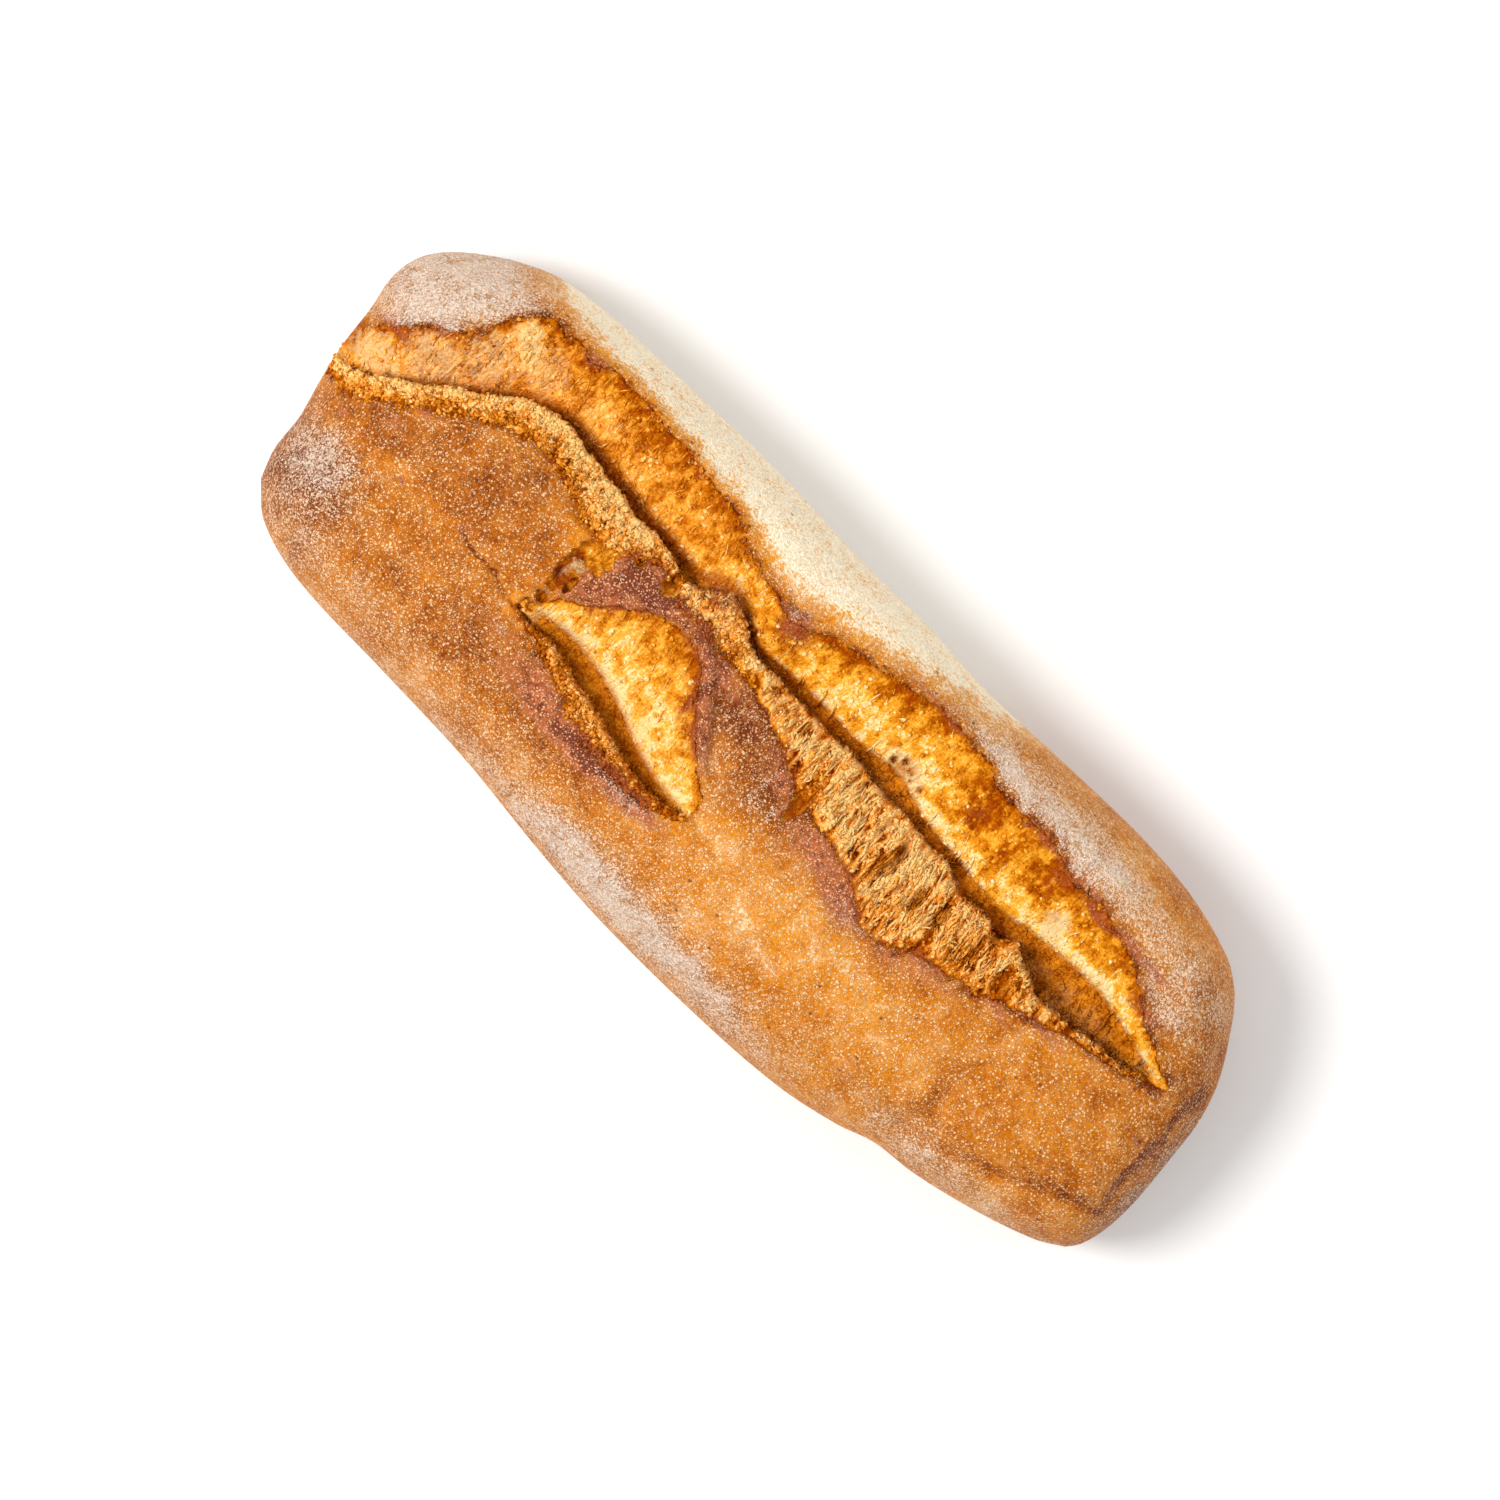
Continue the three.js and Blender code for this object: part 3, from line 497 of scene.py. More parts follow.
class Cut:
    """A cleft in the crown. Its lip, its ledge and the crust's edges are lines along X."""

    def __init__(
        self, lip, ledge, upper_edge, lower_edge, depth, drop, rounding, lip_share, start, end, soft,
    ):
        self.lip, self.ledge, self.upper_edge, self.lower_edge = lip, ledge, upper_edge, lower_edge
        self.depth, self.drop, self.rounding, self.lip_share = depth, drop, rounding, lip_share
        self.start, self.end, self.soft = start, end, soft

    def lip_at(self, x):
        return follow(self.lip, x) + 0.75 * waver(x, 4.3, 0.5) + 0.42 * waver(x, 1.3, 7.5)

    def slant(self, x):
        """How much longer a distance along Y is than one square to the lip."""
        return np.hypot(1, tilt(self.lip, x, reach=5.0))

    def across(self, x, y):
        """The signed distance from the lip, and the distances of the ledge and the two crust edges."""
        lip, slant = self.lip_at(x), self.slant(x)
        ragged = 0.55 * wander(x, y, 2.7) + 0.35 * grit(x, y, 1.1)
        clumps = 0.9 * mottle(x, y, 4.6)
        ledge = np.maximum((follow(self.ledge, x) - lip) / slant, 0.8) + 0.5 * ragged
        upper = np.maximum((follow(self.upper_edge, x) - lip) / slant, ledge + 0.5)
        upper = upper + 1.2 * ragged + 0.6 * clumps
        lower = np.maximum((lip - follow(self.lower_edge, x)) / slant, 0.6) + 1.3 * ragged + 1.1 * clumps
        return (y - lip) / slant, ledge, upper, lower

    def alive(self, x):
        """1 along the cut, fading to 0 past its ends."""
        fade = 3.0
        return span(x, self.start - fade, self.start, self.end, self.end + fade)

    def taken(self, x, y):
        """How much the cut takes off the crown."""
        n, ledge, upper, lower = self.across(x, y)
        depth, drop = follow(self.depth, x), follow(self.drop, x)
        share = follow(self.lip_share, x)
        lip_run = 1.3
        rounding = follow(self.rounding, x)
        above = depth * np.clip(1 - n / upper, 0, 1) ** 1.2
        above = above + drop * (1 - smooth(-rounding, rounding, n - ledge))
        lip = 1 - smooth(0, lip_run, -n)
        slope = np.clip(1 + n / np.maximum(lower, lip_run), 0, 1) ** 1.15
        below = depth * (share * lip + (1 - share) * slope) + drop * lip
        return self.alive(x) * np.where(n >= 0, above, below)

    def torn(self, x, y):
        """1 where bare crumb shows, 0 on crust."""
        n, _, upper, lower = self.across(x, y)
        soft = follow(self.soft, x)
        above = smooth(-0.35, 0.35, upper - n)
        below = smooth(-soft, soft * 0.3, lower + n)
        return self.alive(x) * np.where(n >= 0, above, below)

    def hollow(self, x, y):
        """1 down in the trough, 0 on the open slopes. As a colour mark it is painted shade; it also roughens
        the relief of the trough's floor.
        """
        n, ledge, _, _ = self.across(x, y)
        rounding = follow(self.rounding, x)
        inside = smooth(-0.8, 0.5, n) * (1 - smooth(-0.8 * rounding, 0.6 * rounding, n - ledge))
        # Where the trough's floor is broad, less painted shade is laid on it.
        open_floor = 0.12 * smooth(2.5, 7.0, ledge - n)
        return self.alive(x) * inside * (1 - open_floor) * smooth(0, 2.5, follow(self.drop, x))


TEAR = Cut(
    TEAR_LIP, TEAR_LEDGE, TEAR_UPPER_EDGE, TEAR_LOWER_EDGE, TEAR_DEPTH, TEAR_DROP, TEAR_ROUNDING,
    TEAR_LIP_SHARE, start=-160.0, end=131.0, soft=TEAR_SOFTNESS,
)
SLASH = Cut(
    SLASH_LIP, SLASH_LEDGE, SLASH_UPPER_EDGE, SLASH_LOWER_EDGE, SLASH_DEPTH, SLASH_DROP, SLASH_ROUNDING,
    [(-68, 0.7), (2, 0.7)], start=SLASH_START + 1, end=SLASH_END - 3, soft=[(-68, 0.8), (2, 0.8)],
)


# --- The crown. -------------------------------------------------------------------------------------------


def plan(columns, rows):
    """Where the crown's grid lies in plan, for arrays of column shares and row numbers."""
    settling_turns = 14
    guides = (
        lambda x: follow(LOW_SIDE, x),
        SLASH.lip_at,
        TEAR.lip_at,
        lambda x: follow(HIGH_SIDE, x),
    )
    starts = np.concatenate(([0], np.cumsum(BAND_ROWS)))
    band = np.clip(np.searchsorted(starts, rows, side="left") - 1, 0, len(BAND_ROWS) - 1)
    share = crowd((rows - starts[band]) / np.array(BAND_ROWS)[band], ROW_CROWDING)
    along = crowd(columns, COLUMN_CROWDING)
    x = -HALF_LENGTH + 2 * HALF_LENGTH * columns
    y = np.zeros_like(x)
    for _ in range(settling_turns):
        lines = np.stack([guide(x) for guide in guides])
        low = np.take_along_axis(lines, band[None], 0)[0]
        high = np.take_along_axis(lines, band[None] + 1, 0)[0]
        y = low + (high - low) * share
        left, right = follow(LEFT_END, y), follow(RIGHT_END, y)
        x = left + (right - left) * along
    return x, y


def rim_of_plan():
    """The loaf's outline in plan, as a closed run of points."""
    rows = sum(BAND_ROWS)
    columns_there, rows_there = np.linspace(0, 1, 150, endpoint=False), np.arange(0, rows, 2)
    columns = np.concatenate((columns_there, np.ones(len(rows_there)), 1 - columns_there, 0 * rows_there))
    lines = np.concatenate((0 * columns_there, rows_there, 0 * columns_there + rows, rows - rows_there))
    return np.stack(plan(columns, lines), axis=1)


RIM = rim_of_plan()
MIDDLE = (RIM.min(axis=0) + RIM.max(axis=0)) / 2  # the CAD's loaf is centred on this point of the plan


def inset_of(x, y):
    """How far each (x, y) lies from the loaf's outline."""
    least = np.full(x.shape, np.inf)
    for (x0, y0), (x1, y1) in zip(RIM, np.roll(RIM, -1, axis=0)):
        run = (x1 - x0) ** 2 + (y1 - y0) ** 2 + 1e-9
        t = np.clip(((x - x0) * (x1 - x0) + (y - y0) * (y1 - y0)) / run, 0, 1)
        np.minimum(least, np.hypot(x0 + t * (x1 - x0) - x, y0 + t * (y1 - y0) - y), out=least)
    return least


def pitted(x, y):
    """How deep the steep-sided pits are, less the domes of dough left standing in them."""
    ragged = 0.12 * wander(x, y, 1.7)
    dome = np.zeros_like(x)
    for mark in BURST_DOMES:
        dome = np.maximum(dome, mark[4] * cap(spread(mark, x, y) + 0.6 * ragged) ** 0.6)
    return stamps(PITS + BURSTS, x, y, ragged) - dome


def creased(x, y):
    """How deep the creases of the crust are."""
    fade = 6.0
    depth = np.zeros_like(x)
    for line, deep, half_width in CREASES:
        start, end = line[0][0], line[-1][0]
        n = (y - follow(line, x)) / np.hypot(1, tilt(line, x)) + 0.4 * wander(x, y, 2.2)
        alive = span(x, start - fade / 2, start + fade, end - fade, end + fade / 2)
        depth += deep * alive * bell(n, half_width)
    low, high = END_CREASE[0][0], END_CREASE[-1][0]
    alive = span(y, low - fade, low + fade, high - fade, high)
    return depth + 0.9 * alive * bell(x - follow(END_CREASE, y) + 0.3 * wander(x, y, 2), 1.3)


def ridge(x, y):
    """How near (x, y) is to the scorched ridge, from 0 to 1."""
    n = (y - follow(RIDGE_LINE, x)) / np.hypot(1, tilt(RIDGE_LINE, x)) + 0.5 * wander(x, y, 3)
    return span(x, *RIDGE_RUN) * cap(n / (1.15 * follow(RIDGE_HALF_WIDTH, x)))


def burst(x, y):
    """1 inside the burst bubbles, 0 on whole crust."""
    ragged = 0.30 * wander(x, y, 2.1) + 0.18 * grit(x, y, 0.9)
    least = np.minimum.reduce([spread(mark, x, y) for mark in BURSTS])
    return 1 - smooth(0.94, 1.06, least + ragged)


def torn(x, y):
    """1 where bare crumb shows, in either cut or in the burst bubbles."""
    return np.maximum.reduce([TEAR.torn(x, y), SLASH.torn(x, y), burst(x, y)])


def fibrous(x, y):
    """1 on the torn lower wall, where strands of crumb run down into the trough."""
    n, _, _, lower = TEAR.across(x, y)
    return span(x, *FIBRES_RUN) * smooth(-0.4, 0.4, -n) * smooth(-0.5, 0.8, lower + n)


def fringed(x, y):
    """1 on the clotted lower lips of the tear's left half and of the slash."""
    n, _, _, lower = TEAR.across(x, y)
    lip = smooth(-0.3, 0.4, -n) * smooth(-3.5, 1.2, lower + n) * (1 - smooth(-24, -10, x))
    slash_n, _, _, slash_lower = SLASH.across(x, y)
    low = SLASH.alive(x) * smooth(-0.3, 0.4, -slash_n) * smooth(-1.6, 0.8, slash_lower + slash_n)
    return np.maximum(lip, low)


def pulled(x, y, width=1.9, length=11.0, shift=0.0):
    """The ridges of the strands that run up the torn wall, 1 on their crests."""
    drift = 1.8 * wander(x, y, 9) + 0.06 * y
    return 1 - 2.4 * np.abs(strands((x + drift) / width + shift, y / length))


def crumb_relief(x, y):
    """The rough surface of torn crumb: strands, clots, membranes, pores and grit."""
    strand, fine_strand = pulled(x, y), pulled(x, y, width=1.1, length=6.0, shift=40.0)
    near, lot = pores(x / 2.9, y / 3.8)
    pore = -1.4 * (lot > 0.55) * np.clip(1 - near / 0.36, 0, 1) ** 0.7
    clot_near, clot_lot = clots(x / 1.9, y / 1.9)
    clot = (0.5 + 0.7 * clot_lot) * (cap(clot_near / 0.75) - 0.55)
    cell_near, _ = blisters(x / 4.6 + 9, y / 5.2)
    pillow = 0.55 * (cap(cell_near / 0.85) - 0.5)
    broad = 0.7 * wander(x, y, 5.5) + 0.35 * mottle(x, y, 2.4)
    fibre, fringe, pocket = fibrous(x, y), fringed(x, y), TEAR.hollow(x, y)
    wall = np.clip(1 - fibre - fringe, 0, 1)
    left = 1 - smooth(-40, -10, x)
    relief = fibre * (1.25 * strand + 0.45 * fine_strand + 1.3 * broad + 1.1 * pore)
    relief += fringe * (1.5 * clot + 0.35 * fine_strand + 0.7 * broad)
    relief += wall * left * (0.26 * strand + 0.28 * fine_strand + 0.5 * broad + 0.40 * clot)
    relief += wall * (1 - left) * (0.7 * pillow + 0.4 * broad + 0.10 * fine_strand + 0.30 * clot)
    relief += wall * pocket * smooth(50, 70, x) * (0.5 * strand + 0.6 * clot + 0.8 * broad + 0.6 * pore)
    return relief + 0.16 * grit(x, y, 0.9)


def crust_relief(x, y):
    """The skin's unevenness: broad ripples, small blisters and wrinkles."""
    near, lot = blisters(x / 7.5, y / 6.5)
    blister = 0.32 * (lot > 0.5) * cap(near / 0.42)
    broad = 0.5 * wander(x / 13 + 0.3, y / 9) + 0.26 * mottle(x, y, 5)
    return broad + blister + 0.11 * grit(x, y, 1.9)


def crown_height(x, y):
    """The heights of the crust's skin and of the crumb in the cuts."""
    tight = np.maximum(smooth(55, 120, x), smooth(-5, 30, y) * smooth(-140, -105, x))
    shoulder = SOFT_SHOULDER + (TIGHT_SHOULDER - SOFT_SHOULDER) * tight
    inward = np.clip(inset_of(x, y) / shoulder, 0, 1)
    round_off = (1 - (1 - inward) ** SHOULDER_POWER) ** (1 / SHOULDER_POWER)
    dome = CROWN_HEIGHT - CROWN_FALL * (y / HALF_WIDTH) ** 2 - END_FALL * (x / HALF_LENGTH) ** 4
    n, _, upper, _ = TEAR.across(x, y)
    ear = 0.9 * TEAR.alive(x) * smooth(-146, -130, x) * bell(n - upper - 0.9, 1.5)
    relief = blobs(SWELLS, x, y) + RIDGE_HEIGHT * ridge(x, y) + ear
    relief = relief - TEAR.taken(x, y) - SLASH.taken(x, y) - creased(x, y) - pitted(x, y)

    def over(detail):
        rise = (relief + detail) * smooth(0, 0.3, inward)
        return EQUATOR_HEIGHT + (dome + rise - EQUATOR_HEIGHT) * round_off

    return over(crust_relief(x, y)), over(crumb_relief(x, y) - CRUST_THICKNESS)


def looks(x, y):
    """The shares of each finish at (x, y), each from 0 to 1 (flour goes below 0 on glossy golden skin).
    Hollow is painted shade, and toast holds some painted shade as well.
    """
    wx = x + 1.6 * warp_x(x, y, 6) + 0.6 * warp_x(x, y, 1.7)
    wy = y + 1.6 * warp_y(x, y, 6) + 0.6 * warp_y(x, y, 1.7)
    n, ledge, upper, lower = TEAR.across(x, y)
    slash_n, slash_ledge, slash_upper, slash_lower = SLASH.across(x, y)
    in_slash = SLASH.alive(x) * smooth(-1, 1, slash_n) * smooth(-1.5, 1.5, slash_upper - slash_n)
    in_wall = smooth(-0.5, 0.5, n)
    left = 1 - smooth(-45, -10, x)

    pale = smooth(-4.5, 4.5, wy - follow(PALE_LINE, x))
    tan_top = smooth(-9, 7, wy - follow(PALE_LINE, x) + 5) * (1 - smooth(30, 55, x))
    bake = 0.48 + blobs(BROWNED, wx, wy) + 0.12 * mottle(x, y, 16) + 0.10 * mottle(x, y, 7)
    bake = bake + 0.10 * mottle(x, y, 2.8)
    patchy = smooth(-0.5, 0.5, mottle(x, y, 4))
    edge_toast = 0.50 * patchy * bell(n - upper - 0.4, 0.9) + 0.16 * bell(n - upper - 1.6, 2.0)
    edge_toast = edge_toast + (0.20 + 0.2 * patchy) * (1 - 0.6 * left) * bell(lower + n + 0.6, 1.7)
    fold_toast = span(x, *FOLD_RUN) * bell(wy - follow(SHOULDER_FOLD, x) - 1.0, 2.0)
    end_toast = span(y, *END_RUN) * bell(wx - follow(END_CREASE, y) + 0.6, 1.1)
    bake = bake + TEAR.alive(x) * edge_toast + 0.24 * fold_toast + 0.50 * end_toast
    crack = y - follow(FINE_CRACK, x) - 0.5 * waver(x, 2.0, 0.0)
    cracked = span(x, *CRACK_RUN) * bell(crack, 0.45)
    bake = bake + 0.45 * cracked * smooth(-0.5, 0.1, waver(x, 3.0, 5.0))
    bake = bake - 0.10 * creased(x, y) * span(x, *PALE_SEAMS_RUN)
    bake = bake * (1 - 0.4 * tan_top) * (1 - 0.90 * pale ** 1.2) - 0.16 * pale ** 4

    up_wall = np.clip((n - ledge) / np.maximum(upper - ledge, 0.5), 0, 1)
    above_ledge = np.clip(n - ledge, 0, None)
    broken = (1 - 0.7 * left) * (0.15 + 0.85 * smooth(-0.30, 0.25, waver(x, 5.0, 9.0)))
    wall_toast = 0.35 + 0.30 * up_wall ** 2 + 0.14 * left + 0.35 * patchy * bell(upper - n, 1.6)
    wall_toast = wall_toast - 0.34 * np.exp(-above_ledge / 1.4) * broken
    up_slash = np.clip((slash_n - slash_ledge) / np.maximum(slash_upper - slash_ledge, 0.5), 0, 1)
    above_slash_ledge = np.clip(slash_n - slash_ledge, 0, None)
    slash_toast = 0.31 + 0.36 * up_slash ** 1.7 - 0.36 * np.exp(-above_slash_ledge / 2.6)
    down_lip = np.clip(-n / lower, 0, 1.2)
    low_toast = 0.40 + 0.14 * smooth(50, 80, x) + 0.36 * down_lip ** 2 * (1 - left)
    low_toast = low_toast * (1 - left) + left * (0.02 + 0.66 * down_lip ** 1.3)
    fringe = SLASH.alive(x) * smooth(-0.5, 0.5, -slash_n) * smooth(-1, 1, slash_lower + slash_n)
    toast = low_toast * (1 - in_wall) + wall_toast * in_wall
    toast = toast * (1 - in_slash) + slash_toast * in_slash
    toast = toast * (1 - fringe) + (0.52 + 0.28 * np.clip(-slash_n / slash_lower, 0, 1)) * fringe
    toast = toast + blobs(TOASTED, wx, wy) * np.clip(1 + 1.2 * mottle(x, y, 1.5), 0.2, 1.8)
    blotch = smooth(-0.20, 0.30, mottle(x / 3.6, y / 4.0) + 0.35 * wander(x, y, 9)) - 0.5
    toast = toast + 0.28 * blotch + 0.14 * mottle(x, y, 1.7) + 0.10 * grit(x, y, 1.2)
    fibre = fibrous(x, y)
    # Painted shade: toast rises where the crumb's relief is low and falls on its crests, so the gaps and
    # hollows between strands and clots look shaded.
    toast = toast - (0.16 + 0.16 * fibre + 0.06 * fringed(x, y)) * crumb_relief(x, y)

    scorch = blobs(SCORCHED, wx, wy) + 0.85 * np.sqrt(ridge(x, y)) * (1 - 0.35 * smooth(-40, -20, x))
    rim = TEAR.alive(x) * (0.15 + span(x, *BURNT_RIM_RUN)) * bell(n - upper + 0.3, 0.8)
    scorch = scorch + rim * smooth(0.1, 0.6, waver(x, 6.0, 3.0))
    flour = blobs(FLOURED, wx, wy) + 0.14 * mottle(x, y, 6)
    bare_rim = 0.8 * TEAR.alive(x) * bell(n - upper - 0.5, 1.2)
    flour = flour - bare_rim * smooth(-0.4, 0.2, waver(x, 5.0, 4.0))
    popped, pit = burst(x, y), pitted(x, y)
    # The hollow mark is painted shade: it darkens the troughs of both cuts, the deep pits of the torn wall
    # and the deepest parts of the burst bubbles.
    deep_pit = np.maximum(0.75 * fibre * smooth(0.6, 2.6, pit), 0.9 * popped * smooth(2.2, 3.2, pit))
    deep_pit = np.maximum(deep_pit, 0.8 * in_wall * smooth(0.8, 2.0, pit) * smooth(0, 1, n - ledge))
    hollow = np.maximum.reduce([TEAR.hollow(x, y), np.clip(1.2 * SLASH.hollow(x, y), 0, 1), deep_pit])
    dry_wall = in_wall * left * (0.45 + 0.4 * (1 - smooth(-116, -86, x)))
    # Painted shade: toast rises with the depth of the pit, so the bubbles' hollows are darker and the domes
    # standing in them paler.
    burst_toast = 0.36 + 0.15 * pit + blobs(BURST_TOAST, wx, wy) + 0.25 * mottle(x, y, 1.8)
    toast = toast * (1 - popped) + popped * burst_toast
    return {
        "torn": torn(x, y),
        "dry": np.clip(fibre + fringed(x, y) + dry_wall + 0.3 * in_slash, 0, 1),
        "bake": np.clip(bake, -0.3, 1),
        "toast": np.clip(toast, 0, 1),
        "scorch": np.clip(scorch, 0, 1.8) * (1 - popped),
        "flour": np.clip(flour, -0.5, 1) * (1 - 0.8 * pale),
        "hollow": hollow,
        "bubble_skin": stamps(BUBBLE_SKINS, x, y, 0.45 * grit(x, y, 1.1)),
    }


# --- Pieces. ----------------------------------------------------------------------------------------------


def put(name, data):
    """A new object of the scene that shows the data."""
    obj = bpy.data.objects.new(name, data)
    bpy.context.scene.collection.objects.link(obj)
    return obj


def put_piece(name, mesh, material):
    """Makes a mesh a piece of the loaf, in the material, riding on its body."""
    obj = put(name, mesh)
    mesh.materials.append(material)
    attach(obj, "root")
    return obj


def positions(mesh):
    flat = np.empty(len(mesh.vertices) * 3, np.float32)
    mesh.vertices.foreach_get("co", flat)
    return flat.reshape(-1, 3).astype(float)


def store(mesh, name, values):
    """Keeps a number for each point of the mesh, for its material to read."""
    layer = mesh.attributes.new(name, "FLOAT", "POINT")
    layer.data.foreach_set("value", np.asarray(values, np.float32))


def lip_lean(x, y):
    """How far the torn lower lip leans out over the trough, in millimetres."""
    n, _, _, _ = TEAR.across(x, y)
    return 0.9 * bell(n + 0.9, 0.8) * span(x, *LEANING_RUN)


def settle(mesh, x, y, z, marks):
    """Moves the mesh's points to (x, y, z) of the plan, in mm, and keeps its marks."""
    place = np.stack([x - MIDDLE[0], y - MIDDLE[1], z], axis=1) * MM
    mesh.vertices.foreach_set("co", place.astype(np.float32).ravel())
    for name, values in marks.items():
        store(mesh, name, values)
    if "ring" in mesh.attributes:
        mesh.attributes.remove(mesh.attributes["ring"])
    mesh.shade_smooth()
    mesh.update()


def skirted_grid(name, columns, rows, rings):
    """A flat grid whose rim is extruded in rings and capped. Gives the mesh, its flat places and rings."""
    bm = bmesh.new()
    bmesh.ops.create_grid(bm, x_segments=columns, y_segments=rows, size=0.5)
    ring = bm.verts.layers.int.new("ring")
    edges = [e for e in bm.edges if e.is_boundary]
    for number in range(1, rings + 1):
        grown = bmesh.ops.extrude_edge_only(bm, edges=edges)["geom"]
        for vertex in grown:
            if isinstance(vertex, bmesh.types.BMVert):
                vertex[ring] = number
        edges = [e for e in grown if isinstance(e, bmesh.types.BMEdge)]
    bmesh.ops.contextual_create(bm, geom=edges)
    mesh = bpy.data.meshes.new(name)
    bm.to_mesh(mesh)
    bm.free()
    flat = positions(mesh) + 0.5
    number = np.empty(len(flat), np.int32)
    mesh.attributes["ring"].data.foreach_get("value", number)
    return mesh, flat[:, 0], np.round(flat[:, 1] * rows).astype(int), number


def covered(x, y):
    """1 where the separate, finer crumb fills a cut, 0 where the crust's own mesh shows."""
    inside = smooth(CRUMB_START, CRUMB_START + 2, x)
    return inside * np.maximum(TEAR.torn(x, y), SLASH.torn(x, y))


def skin_height(x, y):
    """The height of the crust's skin, or of the crumb where it is torn."""
    skin, crumb = crown_height(x, y)
    return skin + (crumb - skin) * torn(x, y)


def crust_mesh():
    """The whole skin of the loaf: crown, flanks and underside, sunk a little under the crumb."""
    rows = sum(BAND_ROWS)
    mesh, column, row, ring = skirted_grid("loaf_crust", COLUMNS, rows, FLANK_RINGS + len(FOOT_RINGS))
    x, y = plan(column, row)
    top = ring == 0
    z = np.full(len(x), EQUATOR_HEIGHT)
    cover = np.maximum(covered(x[top], y[top]), patched(x[top], y[top])[0])
    z[top] = skin_height(x[top], y[top]) - CRUST_SINK * cover
    on_rim = np.isclose(np.abs(column - 0.5), 0.5) | (row == 0) | (row == rows)
    z[top & on_rim] = EQUATOR_HEIGHT

    spine_x = np.clip(x, -SPINE_HALF_LENGTH, SPINE_HALF_LENGTH)
    reach = np.hypot(spine_x - x, y)
    way_x, way_y = (spine_x - x) / reach, -y / reach
    turn = np.clip(ring / FLANK_RINGS, 0, 1) * math.pi / 2
    foot = np.array((BASE_INSET,) + FOOT_RINGS)[np.clip(ring - FLANK_RINGS, 0, len(FOOT_RINGS))]
    inset = np.where(ring <= FLANK_RINGS, BASE_INSET * (1 - np.cos(turn)), foot)
    z = np.where(top, z, EQUATOR_HEIGHT * (1 - np.sin(turn)))
    dent_depth = 0.6
    dent = dent_depth * np.abs(wander(x / 11 + 31, y / 8 + z / 9)) * np.sin(2 * turn)
    inset = np.where(top, 0, inset + dent)
    x, y = x + way_x * inset, y + way_y * inset
    marks = looks(x, y)
    flank = 1 - smooth(EQUATOR_HEIGHT - 9, EQUATOR_HEIGHT + 5, z)
    under = smooth(FLANK_RINGS - 1.5, FLANK_RINGS, ring)
    marks["bake"] = np.clip(marks["bake"] + 0.08 * flank + 0.12 * under, 0, 1)
    marks["flour"] = np.clip(marks["flour"] + 0.10 * flank + 0.35 * under, 0, 1)
    settle(mesh, x, y, z, marks)
    return mesh


def patched(x, y):
    """1 well inside the finely modelled patch of crust and 0 outside it, then 1 on its rim alone."""
    low_x, high_x, low_y, high_y = PATCH
    inside = np.minimum.reduce([x - low_x, high_x - x, y - low_y, high_y - y])
    return smooth(0, PATCH_MARGIN, inside), 1 - smooth(0, PATCH_MARGIN / 3, inside)


def patch_mesh():
    """A finer sheet of crust over the burst bubbles and the scorched strap, its rim sunk and closed."""
    low_x, high_x, low_y, high_y = PATCH
    columns, rows = round((high_x - low_x) / PATCH_STEP), round((high_y - low_y) / PATCH_STEP)
    mesh, column, row, ring = skirted_grid("burst_crust", columns, rows, 1)
    x, y = low_x + (high_x - low_x) * column, low_y + (high_y - low_y) * row / rows
    top = ring == 0
    z = np.full(len(x), CRUMB_FLOOR)
    _, rim = patched(x[top], y[top])
    sunk = CRUST_SINK * covered(x[top], y[top])
    z[top] = skin_height(x[top], y[top]) - sunk - PATCH_RIM_SINK * rim
    settle(mesh, x, y, z, looks(x, y))
    return mesh


def crumb_mesh(name, cut, start, end, columns, band_rows):
    """A finer sheet of torn crumb that fills a cut, its rim sunk into the loaf and closed below."""
    rows = sum(band_rows)
    mesh, column, row, ring = skirted_grid(name, columns, rows, 1)
    margin = 3.0
    x = start + (end - start) * column
    lip, slant = cut.lip_at(x), cut.slant(x)
    _, _, upper, lower = cut.across(x, lip)
    low, high = lip - (lower + margin) * slant, lip + (upper + margin) * slant
    up = row > band_rows[0]
    share = np.where(up, (row - band_rows[0]) / band_rows[1], row / band_rows[0])
    share = crowd(share, CRUMB_CROWDING)
    y = np.where(up, lip + (high - lip) * share, low + (lip - low) * share)
    top = ring == 0
    z = np.full(len(x), CRUMB_FLOOR)
    _, crumb = crown_height(x[top], y[top])
    bare = smooth(0.25, 0.75, cut.torn(x[top], y[top]))
    if cut is TEAR:
        bare = bare * smooth(CRUMB_START, CRUMB_START + 1.5, x[top])
    z[top] = crumb + CRUMB_RISE * bare - CRUMB_RIM_SINK * (1 - bare)
    settle(mesh, x, y + lip_lean(x, y) * top, z, looks(x, y))
    return mesh


# --- Materials. -------------------------------------------------------------------------------------------

MATH, MIX, RANGE, RAMP = "ShaderNodeMath", "ShaderNodeMix", "ShaderNodeMapRange", "ShaderNodeValToRGB"
NOISE, CELLS, SHARE = "ShaderNodeTexNoise", "ShaderNodeTexVoronoi", "ShaderNodeAttribute"
FACTOR, FIRST, SECOND = 0, 6, 7  # the sockets of a colour Mix, whose result is output 2


def node(tree, kind, inputs=None, out=0, stops=(), **settings):
    """Adds a node with its settings, colour stops and links, and returns one of its outputs."""
    made = tree.nodes.new(kind)
    for name, value in settings.items():
        setattr(made, name, value)
    for name, value in (inputs or {}).items():
        socket = made.inputs[name]
        if isinstance(value, bpy.types.NodeSocket):
            tree.links.new(value, socket)
        else:
            socket.default_value = (*value, 1) if socket.type == "RGBA" else value
    for number, (share, colour) in enumerate(stops):
        points = made.color_ramp.elements
        point = points[number] if number < 2 else points.new(share)
        point.position, point.color = share, (*colour, 1)
    return made.outputs[out] if made.outputs else None


